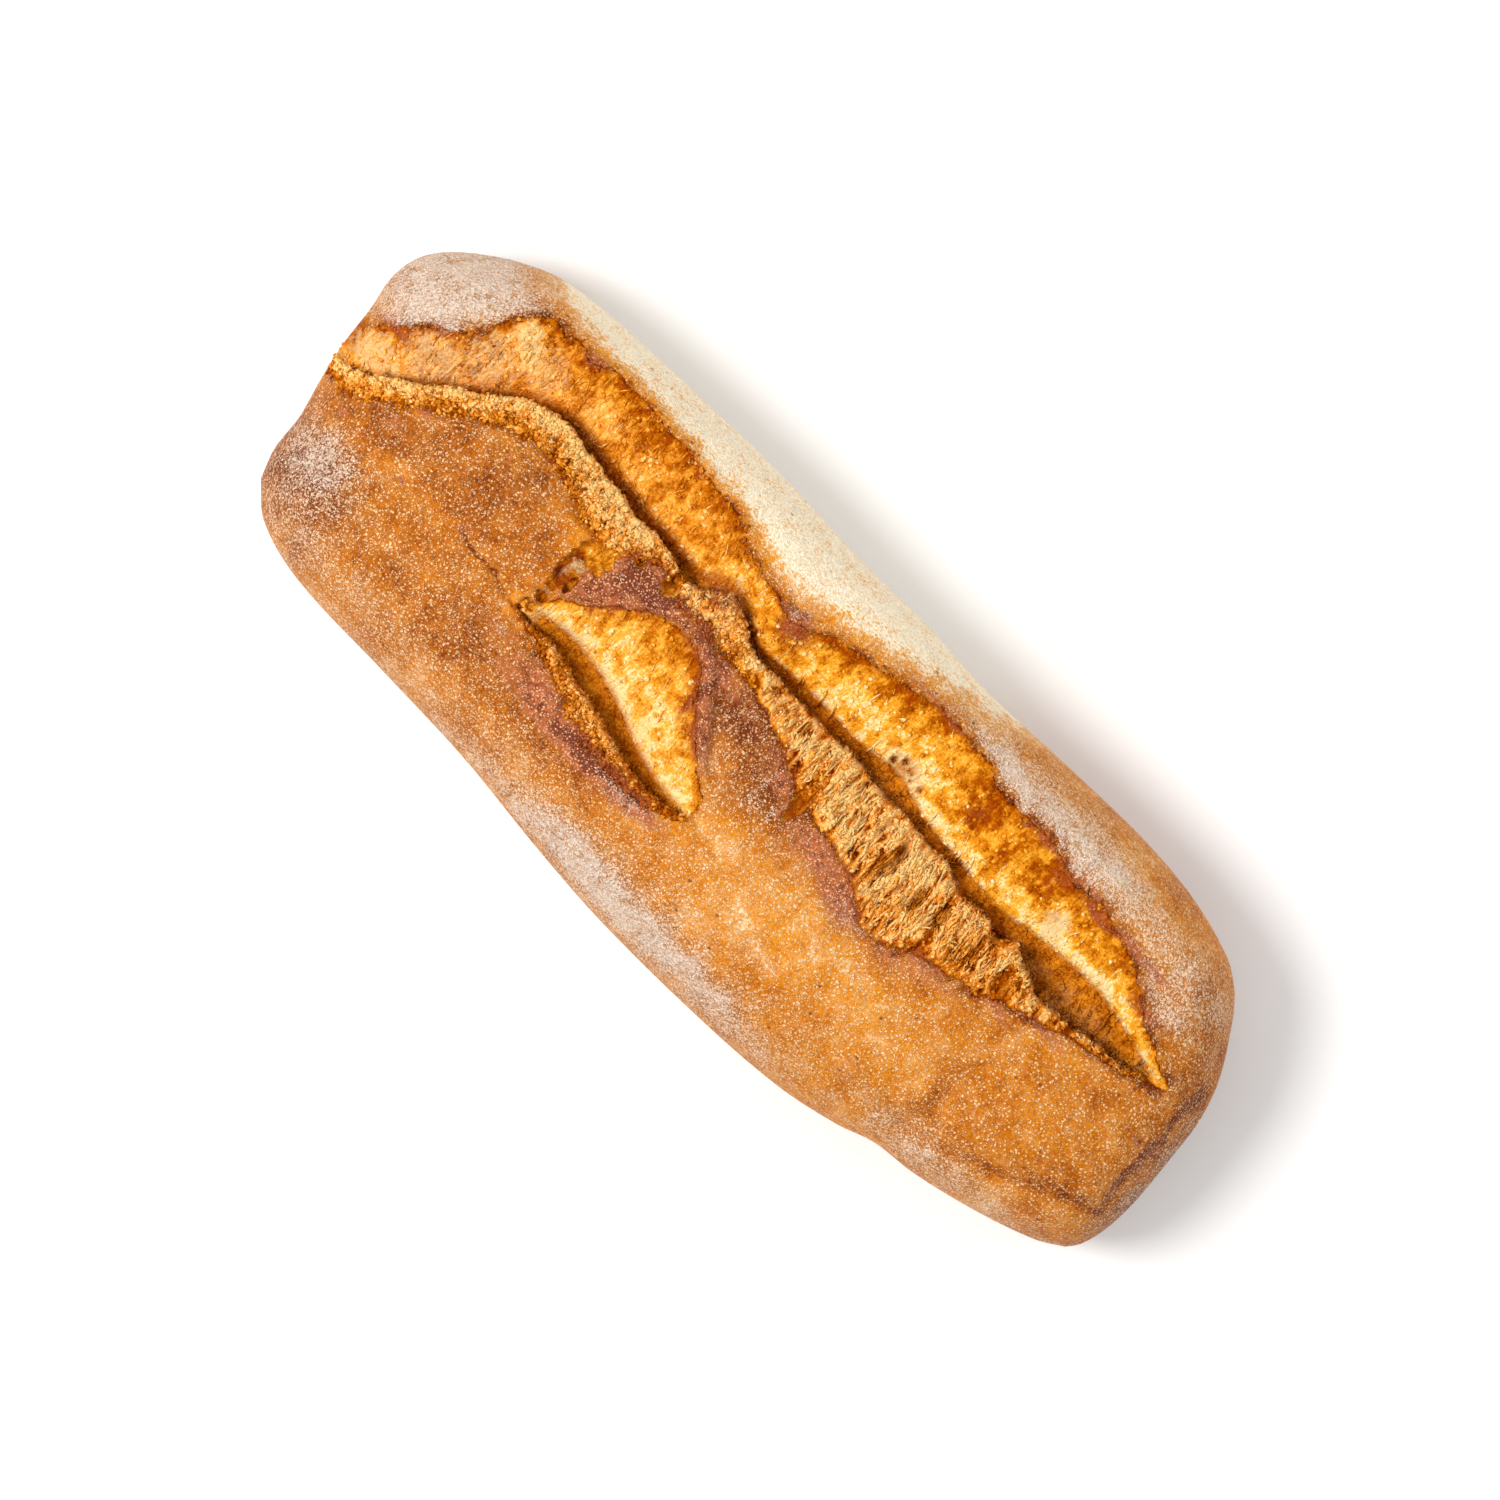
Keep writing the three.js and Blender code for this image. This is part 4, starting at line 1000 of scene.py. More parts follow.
def new_material(name, roughness=0.9, specular=0.5):
    """An empty material, its node tree and its shader."""
    material = bpy.data.materials.new(name)
    material.use_nodes = True
    tree = material.node_tree
    tree.nodes.clear()
    surface = node(tree, "ShaderNodeBsdfPrincipled", {
        "Roughness": roughness, "Specular IOR Level": specular,
    })
    node(tree, "ShaderNodeOutputMaterial", {"Surface": surface})
    return material, tree, surface.node


def per(millimetres):
    """The scale that draws a pattern's features this far apart on coordinates in metres."""
    return 1 / (millimetres * MM)


def grains(tree, place, size, low=0.36, high=0.64, detail=2.0):
    """Hard-edged noise of a size in millimetres, stretched to run from 0 to 1."""
    noise = node(tree, NOISE, {"Vector": place, "Scale": per(size), "Detail": detail, "Roughness": 0.6})
    return node(tree, RANGE, {"Value": noise, "From Min": low, "From Max": high})


def specks(tree, place, spacing, density):
    """Scattered ragged dots, about half as wide as their spacing in millimetres; density says how many."""
    near = node(tree, CELLS, {"Vector": place, "Scale": per(spacing)})
    lot = near.node.outputs["Color"]
    ragged = node(tree, NOISE, {"Vector": place, "Scale": per(0.5 * spacing), "Detail": 1.0})
    near = node(tree, MATH, {0: ragged, 1: -0.5, 2: near}, operation="MULTIPLY_ADD")
    dot = node(tree, RANGE, {"Value": near, "From Min": 0.02, "From Max": 0.18, "To Min": 1, "To Max": 0})
    kept = node(tree, MATH, {0: lot, 1: density}, operation="ADD")
    kept = node(tree, RANGE, {"Value": kept, "From Min": 0.92, "From Max": 1.08})
    return node(tree, MATH, {0: dot, 1: kept}, operation="MULTIPLY")


def crumb_colour(tree, place, colours):
    """Torn crumb: moist and golden on the slopes, dry and tan on the lips, and darker down in the trough,
    where the darkening is painted shade.
    """
    pulled = node(tree, "ShaderNodeMapping", {"Vector": place, "Scale": (1.0, 0.3, 0.4)})
    threads = grains(tree, pulled, 0.9, detail=3.0)
    grit_share = grains(tree, place, 0.7)
    toast, dry, skin, hollow = (
        node(tree, SHARE, attribute_name=name, out=2) for name in ("toast", "dry", "bubble_skin", "hollow")
    )
    # The darker specks stand for small holes in the crumb: painted shade.
    for part, weight in (
        (threads, 0.18), (grit_share, 0.22), (specks(tree, place, 1.3, 0.45), 0.13),
        (specks(tree, place, 0.7, 0.50), -0.14),
    ):
        toast = node(tree, MATH, {0: part, 1: weight, 2: toast}, operation="MULTIPLY_ADD")
    toast = node(tree, MATH, {0: toast, 1: 0.20}, operation="SUBTRACT")
    moist_colour = node(tree, RAMP, {0: toast}, stops=[
        (0.00, colours.pale_crumb), (0.20, colours.yellow_crumb), (0.45, colours.amber_crumb),
        (0.72, colours.toasted_crumb), (1.00, colours.burnt_crumb),
    ])
    dry_colour = node(tree, RAMP, {0: toast}, stops=[
        (0.00, colours.dry_tips), (0.32, colours.dry_crumb), (0.58, colours.dry_shade),
        (0.80, colours.toasted_crumb), (1.00, colours.burnt_crumb),
    ])
    # The painted shade of the troughs and pits: the hollow mark mixes in these darker colours, from the
    # trough-shade crumb to the shaded crumb, varied by grit and cloud.
    depth = node(tree, MATH, {0: grit_share, 1: 0.5}, operation="MULTIPLY")
    cloud = grains(tree, place, 3.0, detail=4.0)
    depth = node(tree, MATH, {0: cloud, 1: 0.5, 2: depth}, operation="MULTIPLY_ADD")
    deep = node(tree, RAMP, {0: depth}, stops=[(0.1, colours.trough_shade_crumb), (0.9, colours.shaded_crumb)])
    skin = node(tree, MATH, {0: grit_share, 1: -0.4, 2: skin}, operation="MULTIPLY_ADD", use_clamp=True)
    colour = moist_colour
    for cover, over in ((dry, dry_colour), (skin, colours.bubble_skin), (hollow, deep)):
        colour = node(tree, MIX, {FACTOR: cover, FIRST: colour, SECOND: over}, out=2, data_type="RGBA")
    height = node(tree, MATH, {0: threads, 1: 1.2, 2: grit_share}, operation="MULTIPLY_ADD")
    return colour, height


def scorch_colour(tree, place, colours):
    """How burnt the surface is, and the purple-brown of the burn with its light bloom."""
    cloud, fine = grains(tree, place, 3.0, detail=4.0), grains(tree, place, 0.8, detail=3.0)
    scorch = node(tree, SHARE, attribute_name="scorch", out=2)
    burnt = node(tree, MATH, {0: cloud, 1: 0.22, 2: scorch}, operation="MULTIPLY_ADD")
    burnt = node(tree, MATH, {0: fine, 1: 0.20, 2: burnt}, operation="MULTIPLY_ADD")
    burnt = node(tree, RANGE, {"Value": burnt, "From Min": 0.36, "From Max": 1.0})
    shade = node(tree, MATH, {0: fine, 1: 0.6, 2: cloud}, operation="MULTIPLY_ADD")
    charred = node(tree, RANGE, {"Value": scorch, "From Min": 1.3, "From Max": 1.8, "To Max": 0.9})
    shade = node(tree, MATH, {0: shade, 1: charred}, operation="SUBTRACT")
    burn = node(tree, RAMP, {0: shade}, stops=[(0.20, colours.burnt_crust), (0.95, colours.scorched_crust)])
    light = node(tree, MATH, {0: specks(tree, place, 0.7, 0.55), 1: 0.75}, operation="MULTIPLY")
    burn = node(tree, MIX, {
        FACTOR: light, FIRST: burn, SECOND: colours.scorch_bloom,
    }, out=2, data_type="RGBA")
    return burnt, burn


def baked_wheat(colours):
    """Hearth-baked wheat dough: a dry, hard crust under a fine bloom of flour and semolina grit.

    It browns from cream to deep brown, and the thin ridges and edges scorch purple-brown. The grit and
    the pores between it are about half a millimetre across, and the coarser grit is drawn at 0.9 mm.
    """
    material, tree, shader = new_material("hearth_baked_wheat_crust", specular=0.08)
    place = node(tree, "ShaderNodeTexCoord", out=3)
    coarse = grains(tree, place, 0.9, 0.40, 0.62, detail=3.0)
    cloud = grains(tree, place, 6.0, 0.30, 0.70, detail=6.0)
    flour, bake, bare = (
        node(tree, SHARE, attribute_name=name, out=2) for name in ("flour", "bake", "torn")
    )
    dusting = node(tree, MATH, {0: cloud, 1: 0.42, 2: flour}, operation="MULTIPLY_ADD")
    density = node(tree, RANGE, {
        "Value": dusting, "From Min": -0.3, "From Max": 0.9, "To Min": 0.22, "To Max": 0.95,
    })
    speck = node(tree, MATH, {
        0: specks(tree, place, 0.95, density), 1: specks(tree, place, 0.55, density),
    }, operation="MAXIMUM")
    grit_share = node(tree, MATH, {0: coarse, 1: 0.35}, operation="MULTIPLY")
    grit_share = node(tree, MATH, {0: speck, 1: 0.65, 2: grit_share}, operation="MULTIPLY_ADD")

    # It browns golden where it is bare and glossy, and ruddy where a film of flour dulls it.
    browning = node(tree, MATH, {0: cloud, 1: -0.18, 2: bake}, operation="MULTIPLY_ADD")
    browning = node(tree, MATH, {0: coarse, 1: -0.28, 2: browning}, operation="MULTIPLY_ADD")
    browning = node(tree, MATH, {0: browning, 1: 0.20}, operation="ADD")
    golden = node(tree, RAMP, {0: browning}, stops=[
        (0.00, colours.pale_flank), (0.18, colours.light_crust), (0.40, colours.golden_crust),
        (0.66, colours.brown_crust), (0.95, colours.dark_crust),
    ])
    ruddy = node(tree, RAMP, {0: browning}, stops=[
        (0.00, colours.pale_flank), (0.20, colours.light_ruddy), (0.50, colours.ruddy_crust),
        (0.95, colours.dark_ruddy),
    ])
    dull = node(tree, RANGE, {"Value": dusting, "From Min": 0.08, "From Max": 0.55})
    bloom = node(tree, RAMP, {0: browning}, stops=[
        (0.00, colours.pale_flank), (0.20, colours.light_bloom), (0.55, colours.crust_bloom),
        (0.95, colours.dark_bloom),
    ])
    seen = node(tree, MATH, {0: speck, 1: 0.68}, operation="MULTIPLY")

    # A few open pores of the skin, about 7 mm apart and under a millimetre across, painted in the
    # burnt-crust colour for the shade inside the holes: painted shade.
    pore = node(tree, CELLS, {"Vector": place, "Scale": per(7.0)})
    pore = node(tree, RANGE, {"Value": pore, "From Min": 0.05, "From Max": 0.1, "To Min": 0.8, "To Max": 0})
    burnt, burn = scorch_colour(tree, place, colours)

    # Flour lies in the grain of the skin, and cracks in short curves where the dough swelled under it.
    crack = node(tree, NOISE, {"Vector": place, "Scale": per(4.2), "Detail": 1.5, "Distortion": 0.6})
    crack = node(tree, MATH, {0: crack, 1: 0.5, 2: 0.036}, operation="COMPARE")
    whole = node(tree, NOISE, {"Vector": place, "Scale": per(5.5)})
    whole = node(tree, RANGE, {"Value": whole, "From Min": 0.46, "From Max": 0.56})
    crack = node(tree, MATH, {0: crack, 1: whole}, operation="MULTIPLY")
    cover = flour
    for part, weight in ((coarse, 0.50), (speck, 0.45), (cloud, 0.25)):
        cover = node(tree, MATH, {0: part, 1: weight, 2: cover}, operation="MULTIPLY_ADD")
    cover = node(tree, RANGE, {"Value": cover, "From Min": 0.72, "From Max": 1.66, "To Max": 0.94})
    for gap, weight in ((specks(tree, place, 1.4, 0.70), -0.40), (crack, -0.70)):
        left = node(tree, MATH, {0: gap, 1: weight, 2: 1.0}, operation="MULTIPLY_ADD")
        cover = node(tree, MATH, {0: cover, 1: left}, operation="MULTIPLY")

    # The torn edge is granular: crust and crumb meet grain by grain.
    crumb, crumb_height = crumb_colour(tree, place, colours)
    bare = node(tree, MATH, {0: coarse, 1: 0.6, 2: bare}, operation="MULTIPLY_ADD")
    bare = node(tree, RANGE, {"Value": bare, "From Min": 0.50, "From Max": 0.95})
    # Each layer lies over the last: its cover, from 0 to 1, and its colour.
    colour = golden
    for share, over in (
        (dull, ruddy), (seen, bloom), (pore, colours.burnt_crust), (burnt, burn), (cover, colours.flour),
        (bare, crumb),
    ):
        colour = node(tree, MIX, {FACTOR: share, FIRST: colour, SECOND: over}, out=2, data_type="RGBA")
    tree.links.new(colour, shader.inputs["Base Color"])

    # Bare crust has a faint sheen; flour and crumb are dull.
    matt = node(tree, MATH, {0: bare, 1: cover}, operation="MAXIMUM")
    rough = node(tree, RANGE, {"Value": matt, "To Min": 0.55, "To Max": 0.92})
    tree.links.new(rough, shader.inputs["Roughness"])

    dug = node(tree, MATH, {0: crack, 1: coarse}, operation="SUBTRACT")
    flour_height = node(tree, MATH, {0: dug, 1: flour}, operation="MULTIPLY")
    crust_height = node(tree, MATH, {0: flour_height, 1: -1.5, 2: grit_share}, operation="MULTIPLY_ADD")
    height = node(tree, MIX, {0: bare, 2: crust_height, 3: crumb_height})
    bump = node(tree, "ShaderNodeBump", {"Height": height, "Strength": 0.9, "Distance": 0.42 * MM})
    tree.links.new(bump, shader.inputs["Normal"])
    return material


def torn_gluten(colours):
    """Bare crumb: dry, matt gluten torn into threads, toasted where it stands out into the heat. Its
    troughs, pits and gaps carry painted shade.
    """
    made = bpy.data.materials.get("torn_wheat_gluten")
    if made is not None:
        return made
    material, tree, shader = new_material("torn_wheat_gluten", specular=0.0)
    place = node(tree, "ShaderNodeTexCoord", out=3)
    crumb, height = crumb_colour(tree, place, colours)
    burnt, burn = scorch_colour(tree, place, colours)
    burn = node(tree, MIX, {FACTOR: 0.55, FIRST: burn, SECOND: colours.burnt_crumb}, out=2, data_type="RGBA")
    crumb = node(tree, MIX, {FACTOR: burnt, FIRST: crumb, SECOND: burn}, out=2, data_type="RGBA")
    tree.links.new(crumb, shader.inputs["Base Color"])
    bump = node(tree, "ShaderNodeBump", {"Height": height, "Strength": 0.8, "Distance": 0.3 * MM})
    tree.links.new(bump, shader.inputs["Normal"])
    return material


def semolina(colours):
    """Semolina: grains of hard wheat baked onto the crust, dull, from straw to near white."""
    material, tree, shader = new_material("baked_on_semolina", specular=0.2)
    place = node(tree, "ShaderNodeTexCoord", out=3)
    flour = node(tree, SHARE, attribute_name="flour", out=2)
    shade = node(tree, MATH, {0: grains(tree, place, 2.0), 1: 0.5, 2: flour}, operation="MULTIPLY_ADD")
    colour = node(tree, RAMP, {0: shade}, stops=[(0.2, colours.semolina), (0.9, colours.flour)])
    tree.links.new(colour, shader.inputs["Base Color"])
    return material


# --- Scattered pieces. ------------------------------------------------------------------------------------


class Skin:
    """The finished loaf's surface, to lay small things on."""

    def __init__(self):
        whole = bmesh.new()
        for name in ("crust", "burst_crust", "tear_crumb", "slash_crumb"):
            obj = bpy.data.objects.get(name)
            if obj is None:
                raise RuntimeError("bake the loaf before what lies on it")
            whole.from_mesh(obj.data)
        self.tree = BVHTree.FromBMesh(whole)
        whole.free()

    def under(self, x, y):
        """The points and normals of the surface straight below each (x, y) of the plan, in mm."""
        down, top = Vector((0, 0, -1)), CAD_HIGH.z + 20 * MM
        spots, normals = np.zeros((len(x), 3)), np.zeros((len(x), 3))
        for i, (sx, sy) in enumerate(zip((x - MIDDLE[0]) * MM, (y - MIDDLE[1]) * MM)):
            spot, normal, _, _ = self.tree.ray_cast(Vector((sx, sy, top)), down)
            if spot is not None:
                spots[i], normals[i] = spot, normal
        return spots / MM, normals


def copies_mesh(name, points, pattern_faces, marks):
    """One mesh of many copies of a pattern: points is (copies, pattern points, 3) in mm."""
    count, each = points.shape[:2]
    faces = (pattern_faces[None] + (np.arange(count) * each)[:, None, None]).reshape(-1, 3)
    mesh = bpy.data.meshes.new(name)
    mesh.from_pydata((points.reshape(-1, 3) * MM).tolist(), [], faces.tolist())
    for mark, values in marks.items():
        store(mesh, mark, np.broadcast_to(values, (count, each)).ravel())
    mesh.update()
    return mesh


def pattern_of(bm):
    """The points and triangles of a small bmesh, which is freed."""
    bmesh.ops.triangulate(bm, faces=bm.faces)
    bmesh.ops.recalc_face_normals(bm, faces=bm.faces)
    bm.verts.index_update()
    points = np.array([v.co for v in bm.verts])
    faces = np.array([[v.index for v in f.verts] for f in bm.faces])
    bm.free()
    return points, faces


def strand_pattern():
    """A three-sided rod one unit long, in even rings."""
    bm = bmesh.new()
    bmesh.ops.create_cone(bm, cap_ends=True, segments=3, radius1=1, radius2=1, depth=1)
    long_edges = [e for e in bm.edges if abs(e.verts[0].co.z - e.verts[1].co.z) > 0.5]
    bmesh.ops.subdivide_edges(bm, edges=long_edges, cuts=STRAND_RINGS - 2, use_grid_fill=True)
    return pattern_of(bm)


def strands_mesh(name, skin, spots):
    """Strands that hug the surface: each is x, y, heading, curl, length, width, lift, free, toast."""
    sunk, steepest_fall = 0.1, 9.0  # millimetres
    x, y, heading, curl, length, width, lift, free, toast = spots.T
    t = np.linspace(0, 1, STRAND_RINGS)
    angle = heading[:, None] + curl[:, None] * (t - 0.2)
    px = x[:, None] + np.cumsum(np.cos(angle), axis=1) * (length / STRAND_RINGS)[:, None]
    py = y[:, None] + np.cumsum(np.sin(angle), axis=1) * (length / STRAND_RINGS)[:, None]
    ground, normals = skin.under(px.ravel(), py.ravel())
    ground, normals = ground.reshape(*px.shape, 3), normals.reshape(*px.shape, 3)
    # A free strand keeps its root's height instead of following the surface down.
    drop = ground[:, :, 2] - ground[:, :1, 2]
    level = ground[:, :1, 2] + drop * (1 - 0.8 * free[:, None] * t)
    arch = np.sin(math.pi * t) * (1 - free)[:, None] + t ** 1.3 * free[:, None]
    centre = ground.copy()
    centre[:, :, 2] = np.maximum(level, ground[:, :, 2])
    centre += normals * (lift[:, None] * arch - sunk)[:, :, None]
    on_loaf = (ground[:, :, 2] > CRUMB_FLOOR).all(axis=1) & (np.abs(drop).max(axis=1) < steepest_fall)
    on_crumb = torn(px[:, -1], py[:, -1]) > 0.15
    # Short strands may reach out over the trough, and so may longer ones that stand free.
    short, longest = 1.6, 4.0
    root, tip = TEAR.across(px[:, 0], py[:, 0])[0], TEAR.across(px[:, -1], py[:, -1])[0]
    too_long = (length > short) & ((free == 0) | (length > longest))
    crossing = (root < 1) & (tip > 1.2) & too_long
    kept = on_loaf & on_crumb & ~crossing
    centre, width, toast = centre[kept], width[kept], toast[kept]

    along = np.gradient(centre, axis=1)
    along /= np.linalg.norm(along, axis=2, keepdims=True) + 1e-9
    side = np.cross(along, (0, 0, 1.0))
    side /= np.linalg.norm(side, axis=2, keepdims=True) + 1e-9
    up = np.cross(along, side)
    half = 0.5 * width[:, None] * (1 - 0.8 * np.abs(2 * t - 1) ** 2.5)
    pattern, faces = strand_pattern()
    ring = np.round((pattern[:, 2] + 0.5) * (STRAND_RINGS - 1)).astype(int)
    outward = pattern[:, 0, None] * side[:, ring] + pattern[:, 1, None] * up[:, ring]
    points = centre[:, ring] + half[:, ring, None] * outward
    # Painted shade: the crests are painted pale, and the sides that face down are painted warm and dark, as
    # if in shade.
    shade = toast[:, None] + 0.12 * t[ring] - 0.02 - 0.22 * outward[:, :, 2]
    shares = looks(centre[:, :, 0] + MIDDLE[0], centre[:, :, 1] + MIDDLE[1])
    # The hollow mark brings the painted shade of the trough onto strands that lie in it.
    marks = {mark: shares[mark][:, ring] for mark in ("dry", "hollow")}
    marks.update(toast=np.clip(shade, 0, 1), scorch=0.55 * shares["scorch"][:, ring])
    mesh = copies_mesh(name, points, faces, marks)
    mesh.shade_smooth()
    return mesh


def lumps_mesh(name, spots, normals, sizes, flat, rng, marks, sides=5):
    """Small closed lumps, each turned, stretched, knocked out of true and sunk a little; where they carry
    toast, their undersides get painted shade.
    """
    sink, painted_shade = 0.3, 0.16
    bm = bmesh.new()
    if sides > 4:
        bmesh.ops.create_icosphere(bm, subdivisions=1, radius=1.0)
    else:
        bmesh.ops.create_uvsphere(bm, u_segments=4, v_segments=2, radius=1.0)
    pattern, faces = pattern_of(bm)
    count = len(spots)
    turned = np.linalg.qr(rng.normal(size=(count, 3, 3)))[0]
    turned[np.linalg.det(turned) < 0, :, 0] *= -1
    stretch = rng.uniform(0.55, 1.0, (count, 1, 3))
    knobs = rng.uniform(0.75, 1.2, (count, len(pattern), 1))
    points = np.einsum("nij,nkj->nki", turned, pattern * stretch * knobs)
    off_ground = np.einsum("nki,ni->nk", points, normals)
    points -= normals[:, None] * (off_ground * (1 - flat))[:, :, None]
    centres = spots + normals * (sizes * (0.5 - sink) * flat)[:, None]
    points = points * (sizes / 2)[:, None, None] + centres[:, None]
    facing = np.einsum("nki,ni->nk", points - centres[:, None], normals) / (sizes / 2)[:, None]
    shares = {mark: values[:, None] for mark, values in marks.items()}
    # Painted shade: each lump's toast is lowered on the side that faces up and raised on the side that faces
    # down, so its top is paler and its underside darker.
    if "toast" in shares:
        shares["toast"] = shares["toast"] - painted_shade * facing
    return copies_mesh(name, points, faces, shares)


def flakes_mesh(name, spots, normals, headings, lengths, rng, marks):
    """Small curled plates of crust, closed, thin and lifted at one end."""
    bm = bmesh.new()
    bmesh.ops.create_grid(bm, x_segments=3, y_segments=2, size=1.0)
    bmesh.ops.solidify(bm, geom=bm.faces, thickness=0.3)
    pattern, faces = pattern_of(bm)
    count = len(spots)
    ahead = np.stack([np.cos(headings), np.sin(headings), np.zeros(count)], axis=1)
    ahead -= normals * (ahead * normals).sum(axis=1, keepdims=True)
    ahead /= np.linalg.norm(ahead, axis=1, keepdims=True)
    aside = np.cross(normals, ahead)
    narrow = rng.uniform(0.3, 0.6, (count, 1))
    curl = rng.uniform(0.1, 0.75, (count, 1))
    ragged = rng.uniform(0.75, 1.2, (count, len(pattern)))
    u, v, w = pattern[:, 0], pattern[:, 1], pattern[:, 2]
    reach = u * ragged * (1 - 0.35 * np.abs(v))
    breadth = v * narrow * ragged * (1 - 0.45 * np.abs(u) ** 2)
    rise = w * 0.5 + curl * (u + 1) ** 2 / 4 + 0.25 * v ** 2 * narrow
    half = (lengths / 2)[:, None, None]
    points = ahead[:, None] * reach[..., None] + aside[:, None] * breadth[..., None]
    points += normals[:, None] * rise[..., None]
    shares = {mark: values[:, None] for mark, values in marks.items()}
    return copies_mesh(name, spots[:, None] + points * half, faces, shares)


def sow(rng, tries, box, chance):
    """Places in a box of the plan, kept by their chance."""
    x, y = rng.uniform(box[0], box[1], tries), rng.uniform(box[2], box[3], tries)
    kept = rng.random(tries) < chance(x, y)
    return x[kept], y[kept]


def scatter(rng, count, tries_each, box, chance):
    """Sown places that lie on the loaf, at most count, with the points and normals of its skin there."""
    x, y = (values[:count] for values in sow(rng, count * tries_each, box, chance))
    spots, normals = Skin().under(x, y)
    found = spots[:, 2] > EQUATOR_HEIGHT
    return x[found], y[found], spots[found], normals[found]


# Where strands are sown, and how.


def long_fibres(x, y):
    """The crests of the torn lower wall of the tear's right half."""
    crests = 0.06 + 0.94 * smooth(0.25, 0.75, pulled(x, y))
    return fibrous(x, y) * crests * (1 - smooth(0.6, 1.6, pitted(x, y)))


def lip_fluff(x, y):
    """The pale fluff on the lip of the trough's right end, and the tufts that stand up all along it."""
    n, _, _, _ = TEAR.across(x, y)
    lip = span(x, *FLUFF_RUN) * bell(n + 0.6, 1.2)
    return np.maximum(lip, blobs(TUFTS, x, y))


def left_fringe(x, y):
    return fringed(x, y) * (y > SLASH.lip_at(x) + 8) * (1 - 0.7 * bell(x + 32, 6))


def slash_fringe(x, y):
    return fringed(x, y) * (y < SLASH.lip_at(x) + 1)


def slopes(x, y):
    """The golden upper walls of both cuts."""
    n, ledge, upper, _ = TEAR.across(x, y)
    wall = smooth(-0.3, 0.3, n - ledge) * smooth(0, 1.5, upper - n) * (1 - 0.75 * smooth(-20, 0, x))
    slash_n, slash_ledge, slash_upper, _ = SLASH.across(x, y)
    slope = SLASH.alive(x) * smooth(-0.3, 0.3, slash_n - slash_ledge) * smooth(0, 1.5, slash_upper - slash_n)
    return np.maximum(wall, 0.4 * slope)


def ledges(x, y):
    """The ragged pale edges where the slopes break off."""
    n, ledge, _, _ = TEAR.across(x, y)
    slash_n, slash_ledge, _, _ = SLASH.across(x, y)
    edge = TEAR.alive(x) * smooth(-18, -10, x) * bell(n - ledge, 0.9)
    return np.maximum(edge, SLASH.alive(x) * bell(slash_n - slash_ledge, 0.9))


def pockets(x, y):
    """The broad floor of the trough's right end, and the slash's trough."""
    n, ledge, _, _ = TEAR.across(x, y)
    slash_n, slash_ledge, _, _ = SLASH.across(x, y)
    floor = TEAR.alive(x) * smooth(0, 0.8, n) * smooth(1.0, 2.5, ledge - n) * smooth(70, 84, x)
    slash_floor = SLASH.alive(x) * smooth(0, 0.8, slash_n) * smooth(0, 0.8, slash_ledge - slash_n)
    return np.maximum(floor, 0.25 * slash_floor)


UP = math.pi / 2
# Each row: where; tries; box; heading and its spread; curl; lengths; widths as a share of the usual;
# lifts; share that stand free; change of toast and its spread.
STRANDS = (
    (long_fibres, 3600, (-22, 128, -11, 20), UP + 0.04, 0.12, 0.2,
     (4.0, 10.0), (1.0, 1.7), (0.2, 0.9), 0.08, -0.14, 0.14),
    (long_fibres, 4600, (-22, 128, -11, 20), UP, 0.35, 0.7,
     (1.5, 4.5), (0.6, 1.1), (0.1, 0.8), 0.20, -0.12, 0.14),
    (left_fringe, 11000, (-147, -12, -8, 28), UP + 0.1, 0.7, 1.4,
     (1.0, 3.4), (0.6, 1.6), (0.1, 0.7), 0.5, -0.06, 0.18),
    (slash_fringe, 3400, (-70, 3, -31, -12), UP, 0.9, 1.5,
     (0.8, 2.6), (0.6, 1.5), (0.1, 0.6), 0.5, -0.04, 0.18),
    (lip_fluff, 16000, (-92, 128, 3, 29), UP + 0.1, 0.9, 1.5,
     (1.0, 3.4), (0.5, 1.2), (0.3, 1.2), 0.6, -0.30, 0.14),
    (slopes, 4200, (-146, 128, -20, 45), UP, 0.28, 0.5,
     (1.5, 6.5), (0.4, 0.9), (0.0, 0.3), 0.0, 0.0, 0.12),
    (ledges, 1800, (-70, 128, -24, 30), -UP, 1.0, 1.2,
     (0.6, 1.5), (0.4, 0.9), (0.0, 0.3), 0.1, 0.0, 0.12),
    (pockets, 4200, (-70, 128, -24, 30), UP, 1.3, 2.0,
     (0.8, 3.0), (0.5, 1.2), (0.1, 0.7), 0.2, 0.0, 0.2),
)


# --- Settings. --------------------------------------------------------------------------------------------


def colour_setting(name, description, code):
    return bpy.props.FloatVectorProperty(
        name=name, description=description, subtype="COLOR", size=3, min=0, max=1, default=linear(code),
    )


def length_setting(name, description, millimetres):
    return bpy.props.FloatProperty(
        name=name, description=description, subtype="DISTANCE", unit="LENGTH", min=0,
        default=millimetres * MM,
    )


def count_setting(name, description, count):
    return bpy.props.IntProperty(name=name, description=description, min=0, default=count)


